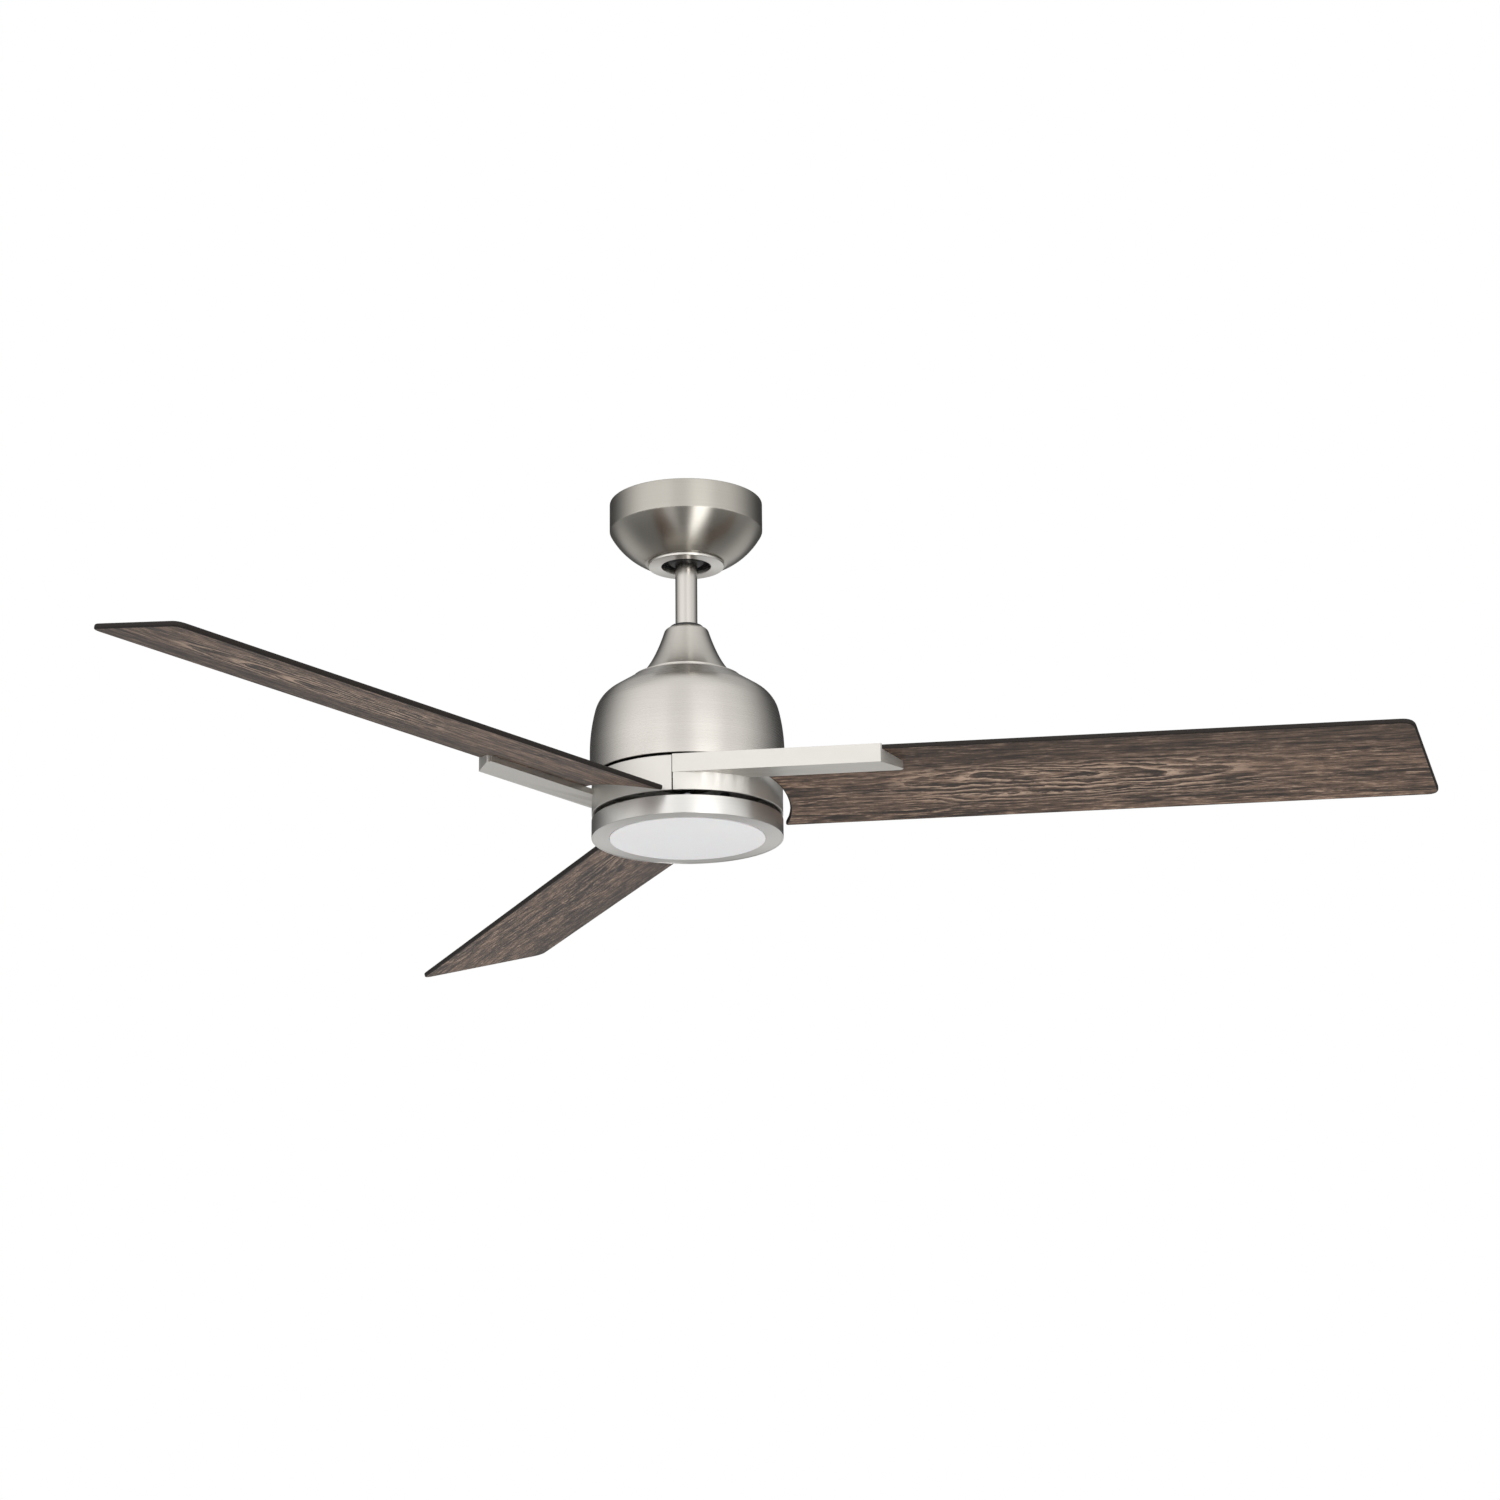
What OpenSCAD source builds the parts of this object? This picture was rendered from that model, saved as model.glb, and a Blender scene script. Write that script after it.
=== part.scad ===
// Three-blade ceiling fan with a flat disc light, on a short downrod.
// Millimetres. The origin is on the fan's axis at the ceiling plane and +Z is up,
// so every piece hangs below z = 0.

/* [Blades] */
// Diameter of the circle swept by the blade tips
sweep_d = 1422.4; // [1100:1:1600]
// Number of degrees that the first blade is turned from +X
blade_azimuth = -8.9; // [-30:0.1:30]
// Pitch of the blades
blade_pitch = 13.8; // [8:0.1:16]
// Thickness of a blade
blade_t = 4.8; // [4:0.1:7]
// Distance from the axis line to a blade's trailing edge, in plan
blade_back = 42.6; // [35:0.1:60]
// How much longer a blade is at its trailing edge than at its leading edge
tip_slant = 25; // [0:1:60]
// Radius of the rounded tip corners
tip_corner_r = 10; // [4:1:30]
// Radius of the rounded root corner
root_corner_r = 4; // [2:0.5:8]
// Gap between the hub band and a blade's hollow root
root_gap = 6.6; // [3:0.1:12]

/* [Hub band and arms] */
// Outer radius of the hub band
band_r = 91.4; // [85:0.1:110]
// Height of the hub band
band_h = 34.3; // [30:0.1:45]
// Wall of the hub band
band_wall = 2.5; // [2:0.1:4]
// Open seam between two neighbouring arm castings
seam_gap = 1.2; // [0.3:0.1:1.5]
// Thickness of the flange that bolts each arm casting to the rotor
arm_flange_t = 4; // [3:0.1:6]
// Length of an arm at its outer face
arm_len = 195.7; // [160:1:260]
// Extra length of an arm at its inner edge, so that its end is cut askew
arm_skew = 22; // [0:1:40]
// Width of an arm below the blade
arm_w = 31; // [26:0.5:40]
// Thickness of the arm's outer wall beside the blade
arm_wall = 1.8; // [1.2:0.1:3]
// Drop of the blade's underside at the axis line, below the band's middle
blade_drop = 9; // [6:0.1:10]

/* [Motor housing] */
// Radius of the motor housing at its lower rim
housing_r = 93.3; // [88:0.1:115]
// Height of the motor housing
housing_h = 103; // [98:0.5:130]
// Radius of the housing's top, on which the coupling cover sits
housing_top_r = 51; // [47:0.5:56]
// Sheet thickness of the housing
housing_wall = 1.5; // [1:0.1:2.5]
// Gap between the housing and the hub band
band_gap_top = 1.85; // [1.5:0.05:4]
// Height of the coupling cover
cover_h = 48; // [44:0.5:60]
// Radius of the coupling cover's foot
cover_foot_r = 43.5; // [40:0.1:46]
// Radius of the coupling cover where its shoulder begins
cover_neck_r = 21.6; // [20.5:0.1:26]
// Sheet thickness of the coupling cover
cover_wall = 1.2; // [1:0.1:2]

/* [Light] */
// Outer radius of the light ring
light_r = 91.5; // [85:0.1:110]
// Height of the light ring
light_h = 17.85; // [16:0.05:30]
// Radius of the opening in the light ring
lens_open_r = 74.6; // [60:0.1:76]
// Gap between the hub band and the light ring
band_gap_low = 4.9; // [4:0.1:8]
// Wall of the light ring
light_wall = 1.5; // [1.2:0.1:2.5]
// Thickness of the lens
lens_t = 2; // [1.5:0.1:3]
// Number of light-emitting chips in the outer circle
chip_n = 24; // [12:1:36]

/* [Canopy and rod] */
// Radius of the canopy
canopy_r = 74.4; // [70:0.1:90]
// Depth of the canopy's straight wall
canopy_wall_h = 28.5; // [24:0.5:40]
// How far the canopy's bowl bulges beyond a straight cone
bowl_sag = 4.1; // [2:0.1:6]
// Sheet thickness of the canopy
canopy_wall = 1.4; // [1:0.1:2]
// Distance from the canopy's screws to the outer edge of the trim ring that hides them
ring_margin = 5.8; // [5:0.1:7]
// Radius of the trim ring's opening
ring_open_r = 24.1; // [23:0.1:25]
// Height of the trim ring
ring_h = 3.4; // [3:0.1:5]
// Outside diameter of the downrod
rod_d = 21.3; // [19:0.1:23]
// Wall of the downrod
rod_wall = 2; // [1.5:0.1:2.5]
// Length of the downrod
rod_len = 127; // [110:1:900]
// Radius of the hanger ball
ball_r = 28; // [27:0.1:29]
// Depth of the hanger ball's centre below the ceiling
ball_drop = 38; // [36:0.5:40]
// How far the ball's sphere would reach below the canopy if its bottom weren't cut flat
ball_show = 5; // [4:0.5:8]

/* [Motor] */
// Outer radius of the motor's rotor
rotor_r = 70; // [64:0.5:72]
// Height of the stator's lamination stack
stack_h = 24; // [18:0.5:28]
// Number of stator teeth and coils
tooth_n = 12; // [9:3:12]
// Number of magnets
magnet_n = 14; // [10:2:20]
// Radius of the hollow motor shaft
shaft_r = 8; // [7:0.1:9]
// Radius of the wire bore in the motor shaft
shaft_bore_r = 5.4; // [5.1:0.1:5.5]

/* [Mounting] */
// Spacing of the two outlet box screws
box_spacing = 88.9; // [80:0.1:96]
// Radius of the holes for the outlet box screws
box_hole_r = 2.6; // [2.3:0.1:3]
// Thickness of the hanger bracket's steel
bracket_t = 2.5; // [2:0.1:3]

/* [Hidden] */
$fn = 96;
// Clearances
slip = 0.15;        // between pieces that slide together and are then fixed
free = 0.3;         // between pieces that move past each other
see_gap = 0.4;      // between pieces that sit side by side

// Heights, from the ceiling down
ball_z = -ball_drop;
rod_above_ball = 10;
rod_top = ball_z + rod_above_ball;
rod_bottom = rod_top - rod_len;
rod_in_cover = 26.2;
canopy_bottom = ball_z - ball_r + ball_show;
// Level of the hub band's middle, which is the level that the fan is laid out from
hub_z = rod_bottom + rod_in_cover - cover_h - housing_h - band_gap_top - band_h / 2;

// Levels in the hub's own frame, whose zero is the middle of the hub band
band_top = band_h / 2;
housing_low = band_top + band_gap_top;
housing_top = housing_low + housing_h;
cover_top = housing_top + cover_h;
rod_end = cover_top - rod_in_cover;
light_top = -band_top - band_gap_low;
light_low = light_top - light_h;
flange_low = band_top - arm_flange_t;

// Blade geometry: the underside is the plane z = rise(t) at a distance t across the blade
function rise(t) = t * tan(blade_pitch) - blade_drop;
blade_front = band_r - arm_wall - 0.2;
blade_len = sqrt(pow(sweep_d / 2, 2) - pow(blade_back, 2));
blade_rise = blade_t / cos(blade_pitch);
wall_top = rise(blade_front) + blade_rise;
root_r = band_r + root_gap;
arm_edge = band_r - arm_w;
// Screws of each blade, as distances along and across the blade in plan
blade_screw_t = band_r - 0.5 * arm_w;
blade_screw_s = [for (i = [0:2]) arm_len * (0.56 + 0.19 * i)];
blade_screw_r = 2.4;

// Fasteners
screw_r = 2;
head_r = 3.8;
head_h = 2.2;

// Motor levels and radii
rotor_low = band_top;
boss_h = 6;
plate_t = 6;
shell_low = rotor_low + boss_h;
bearing_w = 9;
bearing_r = 16;
bearing_in_r = shaft_r + 3;
bearing_ball_r = 2;
bearing_pitch_r = 0.5 * (shaft_r + bearing_r);
low_bearing = shell_low + 3;
stack_low = low_bearing + bearing_w + 7;
stack_top = stack_low + stack_h;
coil_over = 4;
shell_top = stack_top + coil_over + 2;
cap_t = 5;
top_bearing = shell_top + 1;
stator_r = rotor_r - 12;
hub_core_r = 26;
tooth_w = 6;

// Light levels
light_plate_t = 1.5;
plate_low = light_top - light_plate_t;
reflector_t = 1;
board_t = 1.6;
shaft_low = plate_low - 6;
lens_low = light_low - 0.5;
lens_flange_r = lens_open_r + 4.4;
lens_flange_top = light_low + light_wall + lens_t;
boss_r = light_r - 7.5;
reflector_flat_r = 66;
board_r = 60;
plate_screw_ring = 45;

// Ball joint
liner_t = 2;
liner_in_r = ball_r + free;
liner_out_r = liner_in_r + liner_t;
cup_in_r = liner_out_r + free;
cup_t = 2.5;
pin_r = 2.5;
key_r = 2.4;
key_depth = 6;
tilt_limit = 15;
canopy_screw_y = liner_out_r + 0.7;
ring_r = canopy_screw_y + ring_margin;
ball_screw_z = ball_z - 6;
rod_r = rod_d / 2;
rod_bore_r = rod_r - rod_wall;

// Coupling
yoke_r = rod_r + 5.35;
yoke_top = cover_top - 5;
yoke_flange_t = 4;
yoke_flange_r = yoke_r + 10;
housing_screw_r = yoke_r + 5;
shaft_top = rod_end - 5.8;
wire_hole_r = 6;
clevis_r = pin_r;
clevis_z = rod_bottom + 9;
clevis_half = yoke_r + 4;
clip_r = 0.7;
clip_x = yoke_r + 2;
// the clevis pin lies along Y, as the pin in the ball does, so the wires pass both
coupling_turn = 90;
wire_r = 1;
wire_x = clevis_r + wire_r + 0.3;
wire_y = wire_r + 0.25;
yoke_screw_z = rod_bottom + 16.5;
cover_lip = 2;
cover_hole_r = rod_r + 1.85;

// Rotor fasteners
magnet_out = stator_r + 6;
arm_boss_in = 32;
arm_boss_out = 62;
arm_flange_in = 30;
arm_screw_r = 2.5;
arm_screw_ring = 48;
arm_screw_angles = [-70, -30, 10];
rotor_screw_r = 1.4;
rotor_screw_angles = [for (i = [0:5]) 60 * i];
blade_screw_depth = 7;
bed_z = -blade_drop * cos(blade_pitch);

// Light fasteners and driver
boss_angles = [30, 150, 270];
nut_t = 5;
nut_r = 12;
driver_size = [60, 36, 18];
driver_mid_y = 38;
driver_tab = [8, 12, 2];
driver_hole_x = driver_size[0] / 2 + driver_tab[0] / 2;
plug_mid_y = -33;
lead_hole_y = -24;
lead_hole_r = 5;

// ---------- helpers ----------

// Points of an arc about a centre, from one angle to another
function arc(c, r, a0, a1, n = 12) =
    [for (i = [0:n]) let (a = a0 + (a1 - a0) * i / n) c + r * [cos(a), sin(a)]];

// A corner p of a path, rounded with radius r between the points before and after it
function round_corner(before, p, after, r, n = 8) =
    let (u = (before - p) / norm(before - p),
         v = (after - p) / norm(after - p),
         half = acos(u * v) / 2,
         c = p + (u + v) / norm(u + v) * r / sin(half),
         p0 = p + u * r / tan(half),
         a0 = atan2(p0[1] - c[1], p0[0] - c[0]),
         turn = (180 - 2 * half) * sign(u[1] * v[0] - u[0] * v[1]))
    arc(c, r, a0, a0 + turn, n);

// A path moved inwards by d, for the inner face of a spun shell whose outline runs upwards
function inset(path, d) = [for (i = [0:len(path) - 1])
    let (a = path[max(i - 1, 0)],
         b = path[min(i + 1, len(path) - 1)],
         u = (b - a) / norm(b - a))
    path[i] + d * [-u[1], u[0]]];

module at_hub() { translate([0, 0, hub_z]) children(); }
module on_circle(r, angles) { for (a = angles) rotate([0, 0, a]) translate([r, 0, 0]) children(); }
module rod_between(z0, z1, r) { translate([0, 0, z0]) cylinder(h = z1 - z0, r = r); }
module ring(z0, z1, r_in, r_out) {
    rotate_extrude() polygon([[r_in, z0], [r_out, z0], [r_out, z1], [r_in, z1]]);
}
// A pan-head screw whose head stands on z = 0, with its shank going down
module screw(length, r = screw_r, head = head_r, height = head_h) {
    translate([0, 0, -length]) cylinder(h = length, r = r);
    difference() {
        cylinder(h = height, r = head);
        for (a = [0, 90]) rotate([0, 0, a]) translate([-0.7 * head, -0.4, 0.5 * height])
            cube([1.4 * head, 0.8, height]);
    }
}
// A box with its vertical edges cut by small chamfers
module chamfer_box(size, c = 2) {
    linear_extrude(size[2]) polygon([[c, 0], [size[0] - c, 0], [size[0], c], [size[0], size[1] - c],
        [size[0] - c, size[1]], [c, size[1]], [0, size[1] - c], [0, c]]);
}

// ---------- ceiling mount ----------

leg_in = cup_in_r + cup_t + 1;
leg_w = 24;
bracket_r = canopy_r - canopy_wall - 6;
supply_hole_r = 20;
lag_hole_r = 3.2;
lag_ring = bracket_r - 8;
ground_angle = 160;
ground_ring = bracket_r - 12;
cup_low = canopy_bottom + canopy_wall;
socket_t = 3;
cup_drop = 8;

module hanger_bracket() {
    color("silver") {
        difference() {
            rod_between(-bracket_t, 0, bracket_r);
            rod_between(-bracket_t - 1, 1, supply_hole_r);
            for (s = [-1, 1]) translate([0, s * box_spacing / 2, -bracket_t - 1])
                cylinder(h = bracket_t + 2, r = box_hole_r);
            translate([0, 0, -bracket_t - 1]) {
                on_circle(lag_ring, [45, 135, 225, 315]) cylinder(h = bracket_t + 2, r = lag_hole_r);
                on_circle(ground_ring, [ground_angle]) cylinder(h = bracket_t + 2, r = screw_r);
            }
        }
        for (s = [0, 180]) rotate([0, 0, s])
            translate([leg_in, -leg_w / 2, cup_low])
                cube([bracket_t, leg_w, -bracket_t - cup_low]);
        difference() {
            union() {
                rod_between(cup_low, cup_low + socket_t, leg_in);
                intersection() {
                    translate([0, 0, ball_z]) sphere(r = cup_in_r + cup_t);
                    rod_between(cup_low, ball_z - cup_drop, leg_in);
                }
                for (s = [0, 180]) rotate([0, 0, s])
                    translate([0, -leg_w / 2, cup_low]) cube([leg_in, leg_w, socket_t]);
            }
            translate([0, 0, ball_z]) sphere(r = cup_in_r);
            rod_between(cup_low - 1, ball_z, ring_open_r);
            for (s = [-1, 1]) translate([0, s * canopy_screw_y, cup_low - 1])
                cylinder(h = socket_t + 2, r = screw_r);
        }
        // registration pin that keeps the ball from turning
        translate([ball_r - 6, 0, ball_z]) rotate([0, 90, 0])
            cylinder(h = leg_in - ball_r + 6, r = key_r);
    }
}

module ground_screw() {
    color("darkgreen") translate([0, 0, -bracket_t]) on_circle(ground_ring, [ground_angle])
        mirror([0, 0, 1]) screw(bracket_t);
}

// Outline of the canopy's bowl, moved inwards by off: one arc from the crease to the bottom
bowl_end_r = norm([leg_in + bracket_t, leg_w / 2]) + 1;
crease_r = 0.7;
ring_lip = 1.2;
function canopy_bowl(off) =
    let (p = [canopy_r, -canopy_wall_h],
         q = [bowl_end_r, canopy_bottom],
         chord = norm(q - p),
         u = (q - p) / chord,
         r = chord / 2 / sin(2 * atan(2 * bowl_sag / chord)),
         c = (p + q) / 2 + (r - bowl_sag) * [u[1], -u[0]],
         a0 = -acos((canopy_r - off - c[0]) / (r - off)),
         a1 = asin((canopy_bottom + off - c[1]) / (r - off)))
    arc(c, r - off, a0, a1, 20);

module canopy() {
    hole_r = ring_open_r + ring_lip + 0.2;
    bowl = canopy_bowl(0);
    rim = [canopy_r, 0];
    color("silver") difference() {
        rotate_extrude() polygon(concat(
            [rim], round_corner(rim, bowl[0], bowl[1], crease_r, 4), [for (i = [1:20]) bowl[i]],
            [[hole_r, canopy_bottom], [hole_r, canopy_bottom + canopy_wall]],
            reverse(canopy_bowl(canopy_wall)), [[canopy_r - canopy_wall, 0]]));
        for (s = [-1, 1]) translate([0, s * canopy_screw_y, canopy_bottom - 1])
            cylinder(h = canopy_wall + 2, r = screw_r + slip);
    }
}
function reverse(v) = [for (i = [len(v) - 1:-1:0]) v[i]];

module canopy_screws() {
    color("dimgray") for (s = [-1, 1])
        translate([0, s * canopy_screw_y, canopy_bottom]) mirror([0, 0, 1])
            screw(canopy_wall + socket_t + 1, head = 3.4);
}

// Trim ring: a shallow channel that hides the canopy screws
module canopy_ring() {
    low = canopy_bottom - ring_h;
    floor_t = 1;
    color("silver") rotate_extrude() polygon([
        [ring_open_r, canopy_bottom], [ring_open_r, low + 0.4], [ring_open_r + 0.4, low],
        [ring_r - 0.6, low], [ring_r, low + 0.6], [ring_r, canopy_bottom],
        [ring_r - ring_lip, canopy_bottom], [ring_r - ring_lip, low + floor_t],
        [ring_open_r + ring_lip, low + floor_t], [ring_open_r + ring_lip, canopy_bottom]]);
}

module remote_receiver() {
    size = [22, 54, 21];
    color("gainsboro") translate([leg_in + bracket_t + 2, -size[1] / 2, -bracket_t - size[2]])
        chamfer_box(size);
}

// ---------- hanger ball and rod ----------

module ball_seat_liner() {
    zone = ball_z - liner_out_r * cos(50);
    color("black") difference() {
        intersection() {
            translate([0, 0, ball_z]) sphere(r = liner_out_r);
            rod_between(zone, ball_z + 6, liner_out_r + 1);
        }
        translate([0, 0, ball_z]) sphere(r = liner_in_r);
        translate([0, 0, ball_z]) rotate([0, 90, 0])
            cylinder(h = liner_out_r + 1, r = key_r + free);
    }
}

module hanger_ball() {
    flat = ball_r - ball_show + 1;
    slot_drop = 13;
    // the slot is deep enough for the pin's tip at full tilt
    slot_x = (ball_r - key_depth) * cos(tilt_limit) - key_r * sin(tilt_limit) - free;
    color("black") difference() {
        intersection() {
            translate([0, 0, ball_z]) sphere(r = ball_r);
            rod_between(ball_z - flat, ball_z + flat - 5, ball_r + 1);
        }
        rod_between(ball_z - flat - 1, ball_z + flat, rod_r + slip);
        // upright slot that the registration pin rides in
        translate([slot_x, -key_r - free, ball_z - slot_drop])
            cube([ball_r, 2 * (key_r + free), slot_drop + flat]);
        translate([0, 0, ball_z]) rotate([90, 0, 0])
            cylinder(h = 3 * ball_r, r = pin_r + slip, center = true);
        rotate([0, 0, 180]) translate([rod_r - 1, 0, ball_screw_z]) rotate([0, 90, 0])
            cylinder(h = ball_r, r = screw_r);
    }
}

module ball_cross_pin() {
    color("dimgray") translate([0, 0, ball_z]) rotate([90, 0, 0])
        cylinder(h = 1.5 * ball_r, r = pin_r, center = true);
}

// A headless screw with a hex socket, its tip at the origin and its socket towards +X
module set_screw(length) {
    rotate([0, 90, 0]) difference() {
        cylinder(h = length, r = screw_r);
        translate([0, 0, length - 2]) cylinder(h = 3, r = 1.1, $fn = 6);
    }
}

module ball_set_screw() {
    color("dimgray") rotate([0, 0, 180]) translate([rod_r, 0, ball_screw_z]) set_screw(12);
}

module downrod() {
    color("silver") difference() {
        ring(rod_bottom, rod_top, rod_bore_r, rod_r);
        translate([0, 0, ball_z]) rotate([90, 0, 0])
            cylinder(h = 3 * rod_r, r = pin_r + slip, center = true);
        translate([0, 0, clevis_z]) rotate([90, 0, 0])
            cylinder(h = 3 * rod_r, r = clevis_r + slip, center = true);
    }
}

// ---------- coupling between rod and motor ----------

module downrod_pin() {
    head_t = 1.5;
    color("dimgray") rotate([0, 0, coupling_turn]) difference() {
        translate([-clevis_half, 0, clevis_z]) rotate([0, 90, 0]) {
            cylinder(h = 2 * clevis_half, r = clevis_r);
            cylinder(h = head_t, r = clevis_r + 1.5);
        }
        translate([clip_x, 0, clevis_z]) cylinder(h = 4 * clevis_r, r = clip_r + slip, center = true);
    }
}

// Hairpin clip: one leg through the clevis pin, the other beside it
module spring_clip() {
    bend_r = 0.5 * (clevis_r + clip_r + slip);
    leg = 7;
    color("gray") rotate([0, 0, coupling_turn]) translate([clip_x, 0, clevis_z]) {
        translate([0, 0, -leg]) cylinder(h = 2 * leg, r = clip_r);
        translate([0, 2 * bend_r, 0]) translate([0, 0, -leg]) cylinder(h = 2 * leg, r = clip_r);
        translate([0, bend_r, leg]) rotate([90, 0, 90])
            rotate_extrude(angle = 180) translate([bend_r, 0]) circle(r = clip_r);
    }
}

module coupling_yoke() {
    color("silver") difference() {
        union() {
            at_hub() rod_between(housing_top, housing_top + yoke_flange_t, yoke_flange_r);
            at_hub() rod_between(housing_top, yoke_top, yoke_r);
        }
        at_hub() rod_between(rod_end, yoke_top + 1, rod_r + slip);
        at_hub() rod_between(shaft_top - 1, rod_end + 1, wire_hole_r);
        at_hub() rod_between(housing_top - 1, shaft_top, shaft_r);
        rotate([0, 0, coupling_turn]) translate([0, 0, clevis_z]) rotate([0, 90, 0])
            cylinder(h = 3 * yoke_r, r = clevis_r + slip, center = true);
        for (s = [-90, 90]) rotate([0, 0, coupling_turn + s]) translate([rod_r - 1, 0, yoke_screw_z])
            rotate([0, 90, 0]) cylinder(h = yoke_r, r = screw_r);
        at_hub() translate([0, 0, housing_top - 1]) on_circle(housing_screw_r, [45, 135, 225, 315])
            cylinder(h = yoke_flange_t + 2, r = screw_r + slip);
    }
}

module yoke_set_screws() {
    color("dimgray") for (s = [-90, 90]) rotate([0, 0, coupling_turn + s])
        translate([rod_r, 0, yoke_screw_z]) set_screw(yoke_r - rod_r);
}

module housing_screws() {
    color("dimgray") at_hub() translate([0, 0, housing_top + yoke_flange_t])
        on_circle(housing_screw_r, [45, 135, 225, 315]) screw(yoke_flange_t + housing_wall + 2);
}

// Coupling cover: a lip at the foot, a hollow flare and a small rounded shoulder
function flare(a, b, c, n = 16) =
    [for (i = [0:n]) let (t = i / n) (1 - t) * (1 - t) * a + 2 * t * (1 - t) * b + t * t * c];

function cover_outline() =
    let (foot = [cover_foot_r, housing_top + cover_lip],
         lean = 18,
         shoulder = 4.6,
         neck = [cover_neck_r, cover_top - shoulder * (1 - sin(lean))],
         rise_h = neck[1] - foot[1],
         control = [neck[0] + 0.72 * rise_h * tan(lean), foot[1] + 0.28 * rise_h])
    concat([[cover_foot_r, housing_top]], flare(foot, control, neck),
        arc(neck - shoulder * [cos(lean), sin(lean)], shoulder, lean + 12, 90, 6));

module coupling_cover() {
    outer = cover_outline();
    inner = inset(outer, cover_wall);
    color("silver") at_hub() rotate_extrude() polygon(concat(outer,
        [[cover_hole_r, cover_top], [cover_hole_r, cover_top - cover_wall]], reverse(inner)));
}

// Rubber seal that centres the cover on the rod and stands just above it
module rod_seal() {
    bead_h = 2.8;
    bead_r = cover_hole_r + 3.6;
    plug_h = cover_wall + 0.8;
    color("black") at_hub() rotate_extrude() polygon([
        [rod_r + slip, cover_top - plug_h], [cover_hole_r - slip, cover_top - plug_h],
        [cover_hole_r - slip, cover_top], [bead_r, cover_top], [bead_r, cover_top + bead_h - 0.6],
        [bead_r - 0.6, cover_top + bead_h], [rod_r + slip, cover_top + bead_h]]);
}

// Outline of the motor housing from its rim up: straight, two arcs, a straight slope and a neck
function housing_outline() =
    let (a1 = 14, r1 = 165, a2 = 57, r2 = 31.8,
         slope_low = housing_r - r1 * (1 - cos(a1)) - r2 * (cos(a1) - cos(a2)),
         slope_end = housing_top_r + 2,
         arcs_h = r1 * sin(a1) + r2 * (sin(a2) - sin(a1)),
         slope_h = (slope_low - slope_end) / tan(a2),
         neck_h = 3.3,
         start = housing_top - neck_h - slope_h - arcs_h,
         mid = [housing_r - r1 * (1 - cos(a1)), start + r1 * sin(a1)])
    concat([[housing_r, housing_low]], arc([housing_r - r1, start], r1, 0, a1, 12),
        arc(mid - r2 * [cos(a1), sin(a1)], r2, a1 + 4, a2, 12),
        [[slope_end, housing_top - neck_h], [slope_end, housing_top - neck_h + 0.9],
         [housing_top_r, housing_top - 1.8], [cover_foot_r + 2, housing_top]]);

module motor_housing() {
    outer = housing_outline();
    inner = inset(outer, housing_wall);
    hole = shaft_r + 1;
    color("silver") at_hub() difference() {
        rotate_extrude() polygon(concat(outer, [[hole, housing_top], [hole, housing_top - housing_wall]],
            reverse(inner)));
        translate([0, 0, housing_top - 5]) on_circle(housing_screw_r, [45, 135, 225, 315])
            cylinder(h = 10, r = screw_r);
    }
}

// ---------- motor, fixed part ----------

module motor_shaft() {
    color("gray") at_hub() ring(shaft_low, shaft_top, shaft_bore_r, shaft_r);
}

module stator_core() {
    shoe_t = 4;
    step = 360 / tooth_n;
    color("slategray") at_hub() {
        ring(stack_low, stack_top, shaft_r, hub_core_r);
        for (i = [0:tooth_n - 1]) rotate([0, 0, i * step]) {
            translate([hub_core_r - 2, -tooth_w / 2, stack_low])
                cube([stator_r - shoe_t / 2 - hub_core_r + 2, tooth_w, stack_h]);
            rotate_extrude(angle = 0.8 * step, start = -0.4 * step)
                polygon([[stator_r - shoe_t, stack_low], [stator_r, stack_low],
                    [stator_r, stack_top], [stator_r - shoe_t, stack_top]]);
        }
    }
}

module stator_coils() {
    coil_in = hub_core_r + 4;
    coil_out = stator_r - 6;
    coil_w = 2 * (coil_in * tan(180 / tooth_n) - 0.8);
    color("chocolate") at_hub() for (i = [0:tooth_n - 1]) rotate([0, 0, i * 360 / tooth_n])
        difference() {
            translate([coil_in, -coil_w / 2, stack_low - coil_over])
                cube([coil_out - coil_in, coil_w, stack_h + 2 * coil_over]);
            translate([coil_in - 1, -tooth_w / 2, stack_low])
                cube([coil_out - coil_in + 2, tooth_w, stack_h]);
        }
}

module bearing_pair() { for (z = [low_bearing, top_bearing]) translate([0, 0, z]) children(); }
module bearing_race(r_in, r_out) {
    difference() {
        ring(0, bearing_w, r_in, r_out);
        rotate_extrude() translate([bearing_pitch_r, bearing_w / 2]) circle(r = bearing_ball_r + free);
    }
}
module bearing_inner_rings() {
    color("lightsteelblue") at_hub() bearing_pair() bearing_race(shaft_r, bearing_in_r);
}
module bearing_outer_rings() {
    color("lightsteelblue") at_hub() bearing_pair() bearing_race(bearing_r - 3, bearing_r);
}
module bearing_balls() {
    ball_n = 9;
    color("white") at_hub() bearing_pair()
        on_circle(bearing_pitch_r, [for (i = [0:ball_n - 1]) i * 360 / ball_n])
            translate([0, 0, bearing_w / 2]) sphere(r = bearing_ball_r);
}

module lead_wires() {
    color("firebrick") for (x = [-wire_x, wire_x], y = [-wire_y, wire_y]) translate([x, y, 0])
        rod_between(hub_z + shaft_low, rod_top + 8, wire_r);
}

// ---------- motor, turning part ----------

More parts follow.
